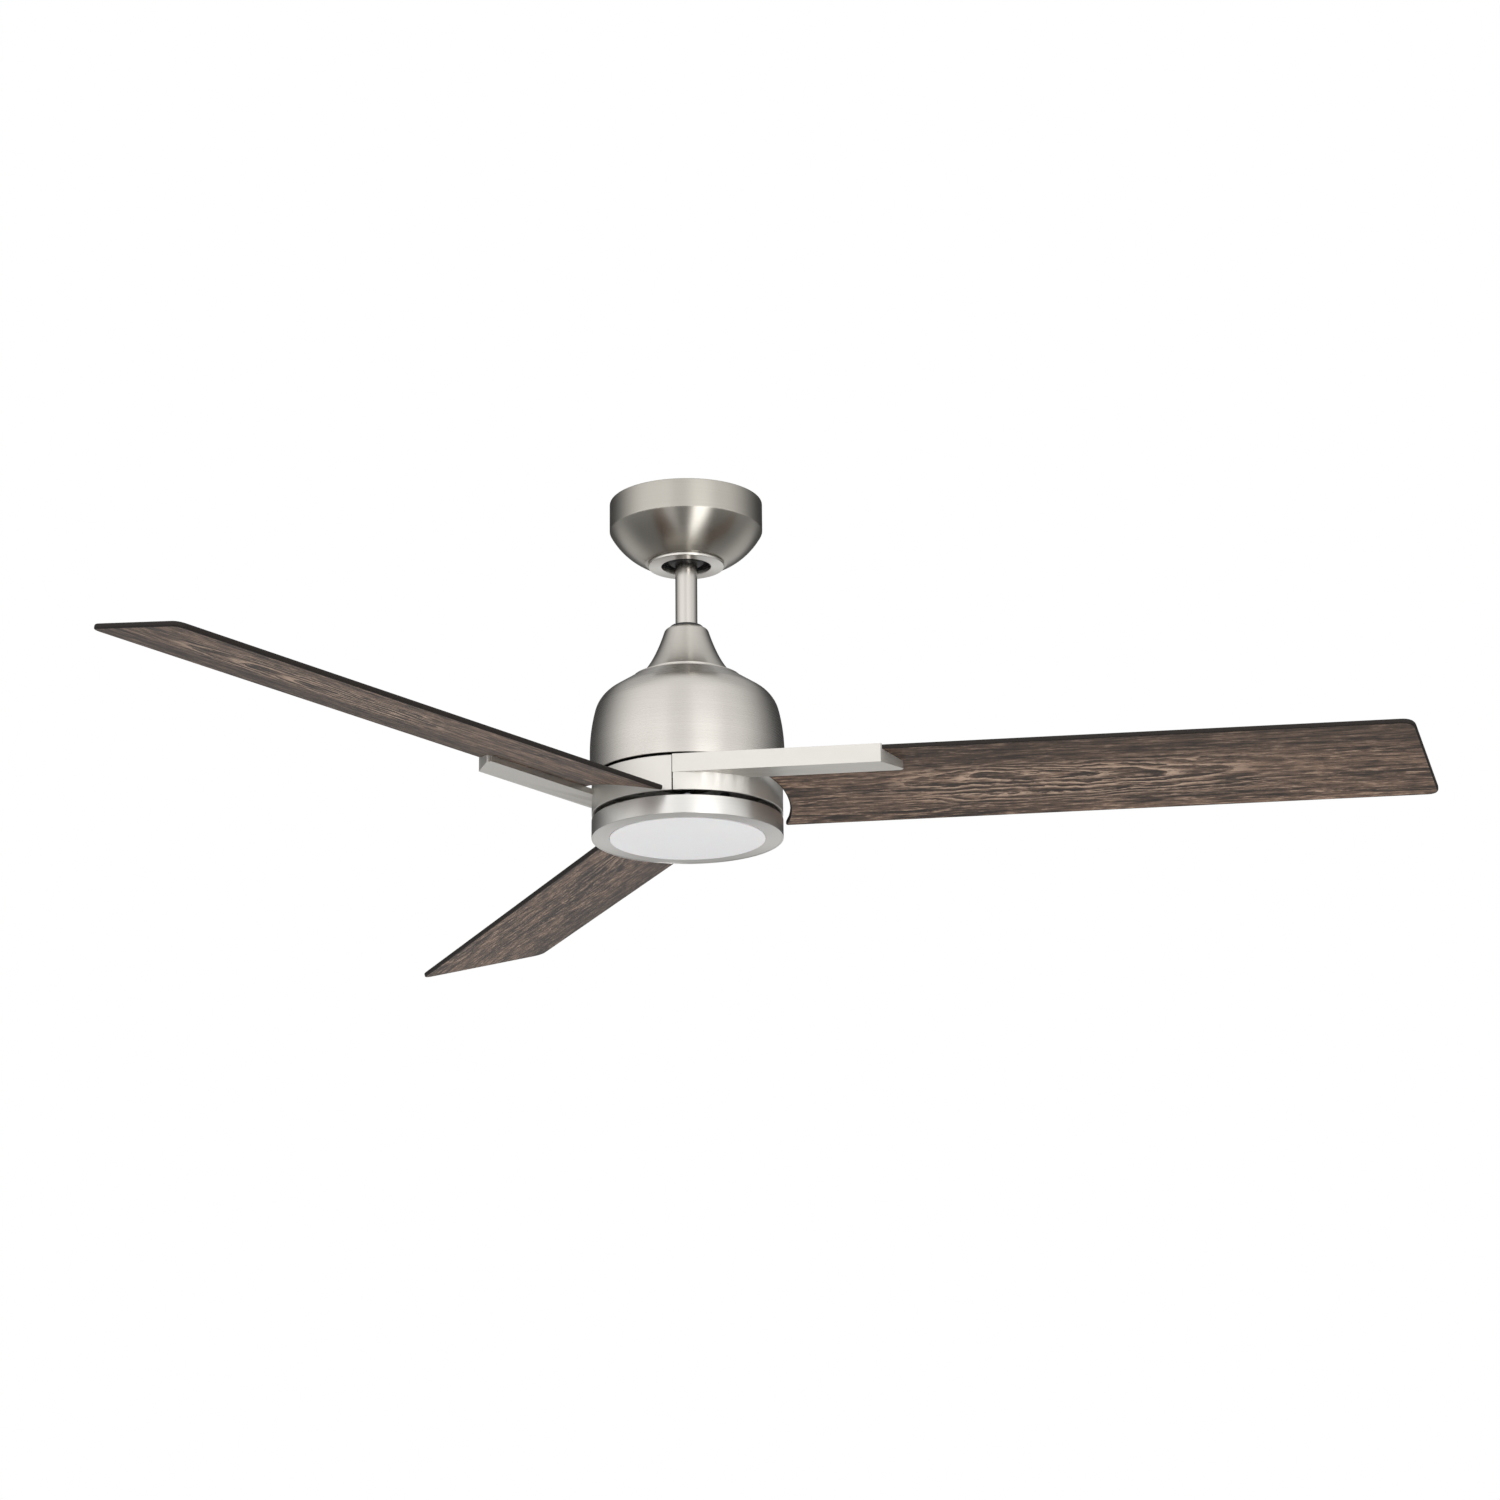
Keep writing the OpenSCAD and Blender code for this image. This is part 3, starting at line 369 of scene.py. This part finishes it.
def edge_band():
    """Near-black edge band of a blade, with a fine rub."""
    material, t = paint("black_edge")
    rub = t.noise(t.place(), 320.0, 3.0, 0.6)
    t.surface(Base_Color=t.mix(rub, colour(20, 16, 14), colour(40, 33, 28)), Specular_IOR_Level=0.3,
              Roughness=0.55 + rub * 0.15, Normal=t.bump(rub, 0.15, 0.0001))
    return material


def plastic(name, tone, rough=0.5, grain=900.0):
    """Moulded plastic with a spark-eroded grain."""
    material, t = paint(name)
    spark = t.noise(t.place(), grain, 3.0, 0.6)
    cloud = t.noise(t.place(), 30.0, 2.0)
    t.surface(Base_Color=t.mix(cloud, scaled(tone, 0.94), colour(*tone)),
              Roughness=rough + spark * 0.12, Normal=t.bump(spark, 0.25, 0.0001))
    return material


def zinc_plate():
    """Zinc-plated sheet: small crystals, each with its own tone, under a dull sheen."""
    material, t = paint("zinc_plate")
    tone = (176, 178, 180)
    crystals = t.add("ShaderNodeTexVoronoi", None, {"Vector": t.place(), "Scale": 160.0}, out=1)
    crystal = t.parts(crystals)[0]
    streak = t.noise(t.place(), 700.0, 2.0)
    t.surface(Base_Color=t.mix(crystal, scaled(tone, 0.86), colour(*tone)),
              Metallic=1.0, Roughness=0.34 + crystal * 0.12 + streak * 0.05,
              Normal=t.bump(streak, 0.15, 0.00008))
    return material


def machined(name, tone, rough):
    """Steel with fine turned lines, level with the ground."""
    material, t = paint(name)
    x, y, z = t.parts(t.place())
    lines = t.noise(t.vector(x * 90.0, y * 90.0, z * 5200.0), 1.0, 2.0)
    stain = t.noise(t.place(), 120.0, 3.0)
    t.surface(Base_Color=t.mix(stain, scaled(tone, 0.88), colour(*tone)),
              Metallic=1.0, Roughness=rough + lines * 0.1, Normal=t.bump(lines, 0.2, 0.00005))
    return material


def painted(name, tone, rough):
    """Powder paint with a slight orange-peel."""
    material, t = paint(name)
    peel = t.noise(t.place(), 420.0, 2.0)
    cloud = t.noise(t.place(), 25.0, 2.0)
    t.surface(Base_Color=t.mix(cloud, scaled(tone, 0.95), colour(*tone)),
              Roughness=rough + peel * 0.08, Normal=t.bump(peel, 0.2, 0.00012))
    return material


def lamination():
    """Stacked half-millimetre steel sheets: a dark line at each joint."""
    material, t = paint("lamination")
    z = t.parts(t.place())[2]
    sheet = t.math("FRACT", z * 2000.0)
    joint = t.ease(sheet, 0.78, 0.95)
    rust = t.noise(t.place(), 260.0, 3.0)
    t.surface(Base_Color=t.mix(joint, t.mix(rust, colour(92, 96, 104), colour(120, 124, 131)),
                               colour(34, 33, 34)),
              Metallic=1.0 - joint * 0.6, Roughness=0.4 + rust * 0.15,
              Normal=t.bump(1 - joint, 0.5, 0.0001))
    return material


def winding():
    """Enamelled copper wire laid turn beside turn, with dark brown painted between the turns as
    shade in the grooves.
    """
    material, t = paint("winding")
    x, y, _ = t.parts(t.place())
    r = t.length(x, y)
    turn = t.math("ABSOLUTE", t.math("SINE", r * (math.pi / 0.0007)))
    shade = t.noise(t.place(), 300.0, 2.0)
    copper = t.mix(shade, colour(168, 92, 48), colour(196, 112, 62))
    # The dark brown where the turns meet is painted shade in the grooves between the wires.
    t.surface(Base_Color=t.mix(turn, colour(74, 32, 16), copper), Metallic=0.75,
              Roughness=0.28 + shade * 0.1, Coat_Weight=0.5, Normal=t.bump(turn, 0.7, 0.0003))
    return material


def wire_skins():
    """Insulation of four leads, coloured by which quarter of the rod a lead runs in."""
    material, t = paint("wire_skins")
    x, y, _ = t.parts(t.place())
    right, far = t.math("GREATER_THAN", x, 0.0), t.math("GREATER_THAN", y, 0.0)
    one = t.mix(far, colour(226, 224, 218), colour(28, 28, 30))
    two = t.mix(far, colour(36, 108, 54), colour(34, 66, 142))
    scuff = t.noise(t.place(), 600.0, 2.0)
    t.surface(Base_Color=t.mix(right, two, one), Roughness=0.4 + scuff * 0.15,
              Normal=t.bump(scuff, 0.2, 0.00008))
    return material


def board_mask():
    """White solder mask over copper, with the faint raised ring of a track under each ring of
    chips."""
    material, t = paint("board_mask")
    x, y, _ = t.parts(t.place())
    r = t.length(x, y)
    outer = t.ease(t.math("ABSOLUTE", r - 0.054), 0.0022, 0.0018)
    inner = t.ease(t.math("ABSOLUTE", r - 0.034), 0.0022, 0.0018)
    track = t.math("MAXIMUM", outer, inner)
    dust = t.noise(t.place(), 90.0, 3.0)
    t.surface(Base_Color=t.mix(track, t.mix(dust, colour(228, 229, 226), colour(238, 238, 235)),
                               colour(214, 212, 200)),
              Roughness=0.32 + dust * 0.1, Normal=t.bump(track, 0.4, 0.00008))
    return material


def phosphor():
    """Yellow phosphor in a white frame."""
    material, t = paint("phosphor")
    grit = t.noise(t.place(), 2600.0, 2.0)
    t.surface(Base_Color=t.mix(grit, colour(214, 178, 64), colour(240, 214, 112)),
              Roughness=0.5 + grit * 0.2, Normal=t.bump(grit, 0.3, 0.00005))
    return material


def cast_aluminium():
    """Die casting coloured near-black as painted shade, so that the gaps round the hub band look
    dark, with soft flow marks.
    """
    material, t = paint("cast_aluminium")
    grain = t.noise(t.place(), 900.0, 3.0, 0.6)
    flow = t.noise(t.place(), 45.0, 4.0)
    # The near-black colour is painted shade for the gaps round the hub band.
    t.surface(Base_Color=t.mix(flow, colour(40, 40, 41), colour(54, 54, 56)),
              Roughness=0.55 + grain * 0.12, Normal=t.bump(grain, 0.3, 0.00015))
    return material


# ---------- pieces turned about the axis ----------

def canopy(finish):
    """Straight wall, crease, one-arc bowl and a flat mouth, with the sheet's thickness inside. The
    arc goes from the crease p to the mouth q and bulges by sag from the chord between them."""
    wall, crease, sag, mouth_r, hole_r = 1.4, -28.5, 4.1, 39.52, 25.5
    r_out, foot = radius_of("canopy"), foot_of("canopy")
    p, q = np.array([r_out, crease]), np.array([mouth_r, foot])
    chord = np.linalg.norm(q - p)
    u = (q - p) / chord
    bend = chord / 2 / math.sin(2 * math.atan(2 * sag / chord))
    c = (p + q) / 2 + (bend - sag) * np.array([u[1], -u[0]])

    def bowl(off):
        """The arc, moved inwards by off."""
        a0 = -math.degrees(math.acos((r_out - off - c[0]) / (bend - off)))
        a1 = math.degrees(math.asin((foot + off - c[1]) / (bend - off)))
        return arc(c, bend - off, a0, a1, 40)

    outline = np.concatenate([[[r_out, 0]], bowl(0), [[hole_r, foot], [hole_r, foot + wall]],
                              bowl(wall)[::-1], [[r_out - wall, 0]]])
    return piece("canopy_shell", turned(eased(outline, 1.3)), "ceiling_mount", finish,
                 ["canopy"])


def trim_ring(finish):
    """Shallow channel with rounded lips and a step in its outer one, under the canopy's mouth."""
    r_out, up, low = radius_of("canopy_ring"), top_of("canopy_ring"), foot_of("canopy_ring")
    mouth, lip, step, web = 24.1, 1.2, 0.8, 1.0
    outline = [[mouth, up], [mouth, low], [r_out, low], [r_out, up - step],
               [r_out - step, up - step], [r_out - step, up],
               [r_out - step - lip, up], [r_out - step - lip, low + web],
               [mouth + lip, low + web], [mouth + lip, up]]
    return piece("trim_ring", turned(eased(outline, 0.5)), "ceiling_mount", finish,
                 ["canopy_ring"])


def downrod(finish):
    """Drawn tube."""
    r_out, up, low, wall = radius_of("downrod"), top_of("downrod"), foot_of("downrod"), 2.0
    heights = np.linspace(low, up, 30)
    outline = np.concatenate([np.stack([0 * heights + r_out, heights], 1),
                              np.stack([0 * heights + r_out - wall, heights[::-1]], 1)])
    return piece("rod", turned(eased(outline, 0.4), turns=96), "hanging", finish,
                 ["downrod"])


def coupling_cover(finish):
    """Lip, hollow flare and rounded shoulder. The flare is (1-t)^2 a + 2t(1-t) b + t^2 c, which
    leans by a small angle from upright where it meets the shoulder."""
    wall, lip, shoulder, hole_r, neck_r, low_part = 1.2, 2.0, 4.6, 12.5, 21.6, 0.28
    lean = 18.0
    sin, cos, tan = (f(math.radians(lean)) for f in (math.sin, math.cos, math.tan))
    foot_r = radius_of("coupling_cover")
    low, up = foot_of("coupling_cover"), top_of("coupling_cover")
    a = np.array([foot_r, low + lip])
    c = np.array([neck_r, up - shoulder * (1 - sin)])
    rise = c[1] - a[1]
    b = np.array([neck_r + (1 - low_part) * rise * tan, a[1] + low_part * rise])
    t = np.linspace(0, 1, 40)[:, None]
    flare = (1 - t) ** 2 * a + 2 * t * (1 - t) * b + t ** 2 * c
    centre = c - shoulder * np.array([cos, sin])
    outer = np.concatenate([[[foot_r, low]], flare, arc(centre, shoulder, lean + 6, 90, 14)])
    outline = np.concatenate([outer, [[hole_r, up], [hole_r, up - wall]], inset(outer, wall)[::-1]])
    return piece("coupling_cover_shell", turned(eased(outline, 0.4, least_turn=20)), "hanging",
                 finish, ["coupling_cover"])


def motor_housing(finish):
    """Dome: an upright wall, an arc of radius r1 to the lean a1, an arc of radius r2 to the lean
    a2, a straight slope, a small neck step and a nearly flat top."""
    wall, a1, r1, a2, r2, hole_r = 1.5, 14.0, 165.0, 57.0, 31.8, 9.0
    neck, neck_step, top_r, top_rise, seat_r = 3.3, 2.0, 51.0, 1.8, 45.5
    r_out, low, up = radius_of("motor_housing"), foot_of("motor_housing"), top_of("motor_housing")
    cos1, sin1, cos2, sin2 = (f(math.radians(a)) for a in (a1, a2) for f in (math.cos, math.sin))
    slope_low = r_out - r1 * (1 - cos1) - r2 * (cos1 - cos2)
    slope_h = (slope_low - top_r - neck_step) / math.tan(math.radians(a2))
    start = up - neck - slope_h - r1 * sin1 - r2 * (sin2 - sin1)
    mid = np.array([r_out - r1 * (1 - cos1), start + r1 * sin1])
    outer = np.concatenate([
        [[r_out, low], [r_out, low + 0.5 * (start - low)]],
        arc([r_out - r1, start], r1, 0, a1, 24),
        arc(mid - r2 * np.array([cos1, sin1]), r2, a1 + 2, a2, 40),
        [[top_r + neck_step, up - neck], [top_r + neck_step, up - neck + 0.9],
         [top_r, up - top_rise], [seat_r, up]]])
    outline = np.concatenate([outer, [[hole_r, up], [hole_r, up - wall]], inset(outer, wall)[::-1]])
    return piece("motor_dome", turned(eased(outline, 0.4, least_turn=8)), "hanging", finish,
                 ["motor_housing"])


def light_ring(finish):
    """Rolled ring with a thin rim that stands down from its face, and three screw posts inside."""
    wall, mouth, rim_w, rim_h = 1.5, 74.6, 1.5, 0.4
    post_ring, post_r, hole_r, hole_deep = 84.0, 4.5, 2.0, 9.0
    r_out, low, up = radius_of("light_ring"), foot_of("light_ring"), top_of("light_ring")
    outline = [[mouth, low + rim_h], [r_out - rim_w, low + rim_h], [r_out - rim_w, low],
               [r_out, low], [r_out, up], [r_out - wall, up], [r_out - wall, low + wall],
               [mouth, low + wall]]
    post_top = foot_of("light_mount_plate")
    post = [[0, low + wall / 2], [post_r, low + wall / 2], [post_r, post_top],
            [hole_r, post_top], [hole_r, post_top - hole_deep], [0, post_top - hole_deep]]
    posts = [turned(post, (post_ring * math.cos(a), post_ring * math.sin(a)), 32)
             for a in np.radians([30, 150, 270])]
    return piece("light_ring_shell", joined(turned(eased(outline, 0.5)), *posts), "hanging", finish,
                 ["light_ring"])


def lens(finish):
    """Flat opal disc that stands just proud, with a rounded edge and a flange that holds it."""
    face_r, thick = 74.35, 2.0
    low, flange_top, flange_r = foot_of("lens"), top_of("lens"), radius_of("lens")
    seat = low + thick
    outline = [[0, low], [face_r, low], [face_r, seat], [flange_r, seat], [flange_r, flange_top],
               [face_r - thick, flange_top], [face_r - thick, low + thick], [0, low + thick]]
    rounded = eased(outline, 0.7, closed=False)
    return piece("lens_disc", turned(rounded), "hanging", finish, ["lens"])


# ---------- blades, arms and their screws ----------

def in_bed(k, points):
    """Points of blade k's own frame, x along, y across and z through, moved to their place: tipped
    by the pitch about x, turned by the azimuth about Z and set at the height of the hub."""
    band_low = top_of("light_ring") + GAP_UNDER_BAND
    band_top = foot_of("motor_housing") - GAP_OVER_BAND
    hub = np.array([0, 0, 0.5 * (band_low + band_top) * MM])
    tip = Matrix.Rotation(-math.radians(BLADE_PITCH), 3, "X")
    turn = Matrix.Rotation(math.radians(BLADE_AZIMUTHS[k]), 3, "Z")
    drop = np.array([0, 0, -BLADE_DROP * math.cos(math.radians(BLADE_PITCH)) * MM])
    return (points + drop) @ np.array(turn @ tip).T + hub


def bed_y(t):
    """Distance across the tipped blade of a point t across in plan."""
    p = math.radians(BLADE_PITCH)
    return (-t + BLADE_DROP * math.cos(p) * math.sin(p)) / math.cos(p)


def blade_outline():
    """Long slanted-tip outline with rounded tip corners and a hollow root round the hub. The
    three far points only give the directions of the edges, and are dropped."""
    back, front, root_r, length, slant = 42.6, 89.4, 98.0, 709.92, 25.0
    tip_round, root_round = 12.0, 4.0
    y0, y1 = bed_y(front), bed_y(-back)
    ends = np.radians(np.linspace(math.degrees(math.asin(back / root_r)),
                                  -math.degrees(math.asin(front / root_r)), 40))
    hollow = np.stack([root_r * np.cos(ends), bed_y(-root_r * np.sin(ends))], 1)
    tip = eased([[60.0, y0], [length - slant, y0], [length, y1], [100.0, y1]],
                tip_round, 14, closed=False)
    root = eased(np.concatenate([[[160.0, y1]], hollow[[0, 3, 4, 5]]]),
                 root_round, 8, closed=False, least_turn=30)
    return np.concatenate([tip[1:-1], root[1:], hollow[6:]])


def blade(k, wood, edge):
    """The outline carried through the blade's thickness along a rim profile with small rounds,
    closed by a flat face above and below. The rounds of a point p shrink near the narrow root
    corner c, by the factor |p - c| / narrow, so that the flat faces stay whole there. A ring of
    flat faces beside the rounds keeps the shading of the big faces level."""
    ease_r, flat_w, narrow, least_room = 1.6, 0.4, 16.0, 0.06
    outline = blade_outline()
    step = np.roll(outline, -1, 0) - np.roll(outline, 1, 0)
    inward = np.stack([-step[:, 1], step[:, 0]], 1) / np.linalg.norm(step, axis=1)[:, None]
    q = np.radians(np.linspace(0, 90, 5))
    low = np.stack([ease_r * (1 - np.sin(q)), ease_r * (1 - np.cos(q))], 1)
    high = np.stack([low[::-1, 0], BLADE_THICK - low[::-1, 1]], 1)
    rim = np.concatenate([[[ease_r + flat_w, 0]], low, high, [[ease_r + flat_w, BLADE_THICK]]])
    room = np.clip(np.linalg.norm(outline - outline[-1], axis=1) / narrow, least_room, 1.0)
    flat = outline[:, None, :] + (inward * room[:, None])[:, None, :] * rim[None, :, :1]
    local = np.concatenate([flat, np.broadcast_to(rim[None, :, 1:], (*flat.shape[:2], 1))], -1)
    local = local.reshape(-1, 3) * MM
    n, m = len(outline), len(rim)
    faces = [list(f) for f in grid_faces(n, m, True, False)]
    faces += [list(np.arange(n)[::-1] * m), list(np.arange(n) * m + m - 1)]
    name = f"blade_board_{k + 1}"
    mesh = bpy.data.meshes.new(name)
    mesh.from_pydata(in_bed(k, local).tolist(), [], [list(map(int, f)) for f in faces])
    grain = mesh.attributes.new("grain", "FLOAT_VECTOR", "POINT")
    place_in_tree = [[0.0, 0.024, 0.0], [0.31, 0.027, 1.7], [-0.12, 0.018, 3.1]][k]
    grain.data.foreach_set("vector", (local + place_in_tree).astype(np.float32).ravel())
    mesh.materials.append(wood)
    mesh.materials.append(edge)
    across = np.arange(n * (m - 1)) % (m - 1)
    rims = np.concatenate([(across > 0) & (across < m - 2), [False, False]])
    mesh.polygons.foreach_set("material_index", rims.astype(np.int32))
    mesh.shade_smooth()
    mesh.set_sharp_from_angle(angle=math.radians(40))
    thing = linked(name, mesh)
    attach(thing, "rotor")
    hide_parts(f"blade_{k + 1}")
    return thing


def arm(k, finish):
    """The cast arm's own solid with its points merged, its flat faces made whole and its edges
    broken by a small bevel."""
    name = f"blade_arm_{k + 1}"
    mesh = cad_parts[name].data.copy()
    bm = bmesh.new()
    bm.from_mesh(mesh)
    bmesh.ops.remove_doubles(bm, verts=bm.verts, dist=2e-6)
    bmesh.ops.dissolve_limit(bm, angle_limit=math.radians(0.3), verts=bm.verts, edges=bm.edges)
    bm.to_mesh(mesh)
    bm.free()
    mesh.materials.clear()
    mesh.materials.append(finish)
    mesh.shade_smooth()
    mesh.set_sharp_from_angle(angle=math.radians(30))
    thing = linked(f"arm_casting_{k + 1}", mesh)
    bevel = thing.modifiers.new("edges", "BEVEL")
    bevel.width, bevel.segments = 0.45 * MM, 2
    bevel.limit_method, bevel.angle_limit = "ANGLE", math.radians(40)
    bevel.harden_normals = True
    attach(thing, "rotor")
    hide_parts(name)
    return thing


def blade_screws(k, finish):
    """Pan heads with a cross recess. A head's height at the radius r and angle a is
    2.4 (1 - 0.35 (r/4.8)^4), less the recess. The recess is 1.3 mm deep in the middle and
    shallower outwards. It is full within 0.4 mm of either line of the cross and gone at 0.75 mm,
    and it fades out between the radii 2.1 and 2.9 mm."""
    head_r, head_h, shank_r, shank, deep = 4.8, 2.4, 2.4, 11.3, 1.3
    rows, cols = 72, 26
    a = np.linspace(0, 2 * np.pi, rows, endpoint=False)[:, None]
    r = np.linspace(0, head_r, cols)[None, :]
    u, v = np.abs(r * np.cos(a)), np.abs(r * np.sin(a))
    cross = np.clip((0.75 - np.minimum(u, v)) / 0.35, 0, 1) * np.clip((2.9 - r) / 0.8, 0, 1)
    z = head_h * (1 - 0.35 * (r / head_r) ** 4) - deep * cross * np.clip(1.2 - r / 3.2, 0, 1)
    top = np.stack([r * np.cos(a), r * np.sin(a), z], -1)
    side_r = np.array([head_r, shank_r, shank_r, 0.0])
    side_z = np.array([0.0, 0.0, -shank, -shank])
    side = np.stack([side_r * np.cos(a), side_r * np.sin(a), side_z + 0 * a], -1)
    grid = np.concatenate([top, side], 1)[:, ::-1]
    faces = grid_faces(rows, grid.shape[1], True, False)
    screw_line = bed_y(75.9)
    parts = []
    for share in (0.56, 0.75, 0.94):
        local = grid.reshape(-1, 3) + np.array([ARM_LENGTH * share, screw_line, BLADE_THICK])
        parts.append((in_bed(k, local * MM), faces))
    return piece(f"blade_screw_set_{k + 1}", joined(*parts), "rotor", finish,
                 [f"blade_screws_{k + 1}"])


# ---------- finishes of the pieces that stay as they are ----------

def finish_nodes(finishes):
    """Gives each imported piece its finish; finishes maps a material to the names of its pieces."""
    for material, names in finishes:
        for name in names:
            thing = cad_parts[name]
            if not thing.material_slots:
                thing.data.materials.append(material)
            for holder in thing.material_slots:
                holder.material = material


# ---------- studio ----------

def studio_light():
    """White all round to the eye, even soft light on matt surfaces, and for reflections a room:
    a broad bright front that fades to dark behind at eye level, a grey ceiling, a dim floor
    with two narrow bright strips in front and a pale floor behind."""
    world = bpy.data.worlds.new("studio")
    bpy.context.scene.world = world
    world.use_nodes = True
    t = Tree(world.node_tree)
    x, y, z = t.parts(t.add("ShaderNodeTexCoord"))
    level_part = t.math("SQRT", x * x + y * y + 0.0004)
    facing = -1 * y / level_part

    def strip(azimuth, half, soft, strength):
        """Bright between azimuth - half and azimuth + half, fading over soft more."""
        a = math.radians(azimuth)
        toward = (x * math.sin(a) - y * math.cos(a)) / level_part
        edge, core = math.cos(math.radians(half + soft)), math.cos(math.radians(half))
        return t.ease(toward, edge, core, 0, strength)

    wall = t.ease(facing, -0.92, 0.62, 0.06, 1.4) - strip(-8, 1, 20, 0.2) + strip(22, 6, 22, 0.2)
    horizon = t.ease(t.math("ABSOLUTE", z - 0.05), 0.13, 0.04) * t.ease(facing, -0.3, 0.5)
    wall = wall * t.ease(x, 1.3, -0.4, 0.76, 1.0) + horizon * 1.0
    ceiling = 0.66 + t.ease(facing, -0.4, 0.8) * 0.5
    upper = t.ease(z, 0.5, 0.85)
    room = wall * (1 - upper) + ceiling * upper
    ground_front = 0.25 + strip(25, 5, 13, 3.2) + strip(-30, 3, 14, 0.6) + strip(100, 10, 25, 0.1)
    ground_back = t.ease(z, -0.75, -0.4, 0.4, 0.76) * t.ease(facing, -0.2, -0.8, 0.4, 1.0)
    behind = t.ease(facing, 0.1, -0.5)
    ground = ground_front * (1 - behind) + ground_back * behind
    below = t.ease(z, -0.04, -0.26)
    room = room * (1 - below) + ground * below
    path = t.add("ShaderNodeLightPath").socket.node
    seen = Socket(t, path.outputs["Is Camera Ray"])
    glossy = Socket(t, path.outputs["Is Glossy Ray"])
    soft = 1.02 + t.ease(z, -0.6, 0.9) * 0.1
    level = t.add("ShaderNodeMix", None, {0: glossy, 2: soft, 3: room})
    level = t.add("ShaderNodeMix", None, {0: seen, 2: level, 3: 1.0})
    sky = t.add("ShaderNodeBackground", None, {0: (1, 1, 1, 1), 1: level})
    t.add("ShaderNodeOutputWorld", None, {0: sky})


def floor():
    """Plain pale floor, 2.5 m below the ceiling and left out of reflections."""
    half, steps, level = 12.0, 25, -2.5
    side = np.linspace(-half, half, steps)
    gx, gy = np.meshgrid(side, side, indexing="ij")
    points = np.stack([gx, gy, 0 * gx + level], -1).reshape(-1, 3)
    mesh = bpy.data.meshes.new("floor")
    mesh.from_pydata(points.tolist(), [], grid_faces(steps, steps, False, False).tolist())
    material, t = paint("pale_floor")
    cloud = t.noise(t.place(), 3.0, 2.0)
    t.surface(Base_Color=t.mix(cloud, colour(240, 240, 239), colour(246, 246, 245)), Roughness=0.8)
    mesh.materials.append(material)
    thing = linked("floor", mesh)
    thing.visible_glossy = False


def camera():
    """Long lens from below, in front of the fan and looking up at its middle."""
    data = bpy.data.cameras.new("camera")
    data.sensor_width, data.lens = 36.0, 93.54
    data.shift_x, data.shift_y = -0.00456, -0.0006
    data.clip_start, data.clip_end = 0.05, 60.0
    thing = linked("camera", data)
    yaw, pitch, roll = 0.018681, 0.294025, -0.010685
    eye = (0, -3.577, -1.333)
    ahead = Vector((math.sin(yaw) * math.cos(pitch), math.cos(yaw) * math.cos(pitch),
                    math.sin(pitch)))
    right = Vector((math.cos(yaw), -math.sin(yaw), 0))
    up = right.cross(ahead)
    right, up = (right * math.cos(roll) + up * math.sin(roll),
                 up * math.cos(roll) - right * math.sin(roll))
    turn = Matrix((right, up, -ahead)).transposed().to_4x4()
    thing.matrix_world = Matrix.Translation(eye) @ turn
    bpy.context.scene.camera = thing


# ---------- building the model ----------

camera()
studio_light()
floor()
bpy.context.scene.view_settings.view_transform = "Standard"

# One spun nickel finish in lit and shaded copies: each piece's tone is made lighter or darker to
# paint in the light and shade that piece shows.
canopy(spun_nickel("spun_nickel", (173, 169, 161)))
trim_ring(spun_nickel("spun_nickel_ring", (222, 219, 213)))
downrod(drawn_nickel())
coupling_cover(spun_nickel("spun_nickel_cover", (196, 192, 185)))
motor_housing(spun_nickel("spun_nickel_dome", (194, 190, 184), 0.27))
light_ring(spun_nickel("spun_nickel_light", (218, 216, 212), 0.34))
lens(opal_lens())

cast = cast_nickel()
wood, edge = weathered_wood(), edge_band()
bright_steel = machined("bright_screws", (170, 170, 172), 0.3)
for k in range(3):
    arm(k, cast)
    blade(k, wood, edge)
    blade_screws(k, bright_steel)

finish_nodes([
    (zinc_plate(), ["hanger_bracket", "coupling_yoke", "shaft_nuts"]),
    (painted("green_dye", (34, 104, 48), 0.3), ["ground_screw"]),
    (machined("dark_screws", (132, 132, 136), 0.32), [
        "canopy_screws", "ball_cross_pin", "ball_set_screw", "downrod_pin", "spring_clip",
        "yoke_set_screws", "housing_screws", "light_plate_screws", "driver_screws",
        "reflector_screws", "rotor_screws", "arm_screws"]),
    (plastic("receiver_grey", (206, 206, 203)), ["remote_receiver"]),
    (plastic("black_nylon", (26, 26, 27), 0.42, 1500.0), [
        "hanger_ball", "ball_seat_liner", "rod_seal"]),
    (machined("ground_shaft", (150, 151, 154), 0.22), ["motor_shaft"]),
    (lamination(), ["stator_core"]),
    (winding(), ["stator_coils"]),
    (machined("bearing_races", (196, 198, 202), 0.12), [
        "bearing_inner_rings", "bearing_outer_rings", "bearing_balls"]),
    (wire_skins(), ["lead_wires"]),
    # The light mount plate is coloured near-black as painted shade for the gap under the hub band.
    (painted("painted_shade_black", (30, 30, 31), 0.4), ["light_mount_plate"]),
    (painted("white_paint", (232, 232, 230), 0.3), ["reflector"]),
    (plastic("white_case", (226, 226, 222)), ["led_driver", "light_connector"]),
    (board_mask(), ["led_board"]),
    (phosphor(), ["led_chips"]),
    (cast_aluminium(), ["rotor_cover_top", "rotor_cover_bottom"]),
    (machined("magnet_plating", (92, 92, 96), 0.35), ["rotor_magnets"]),
])
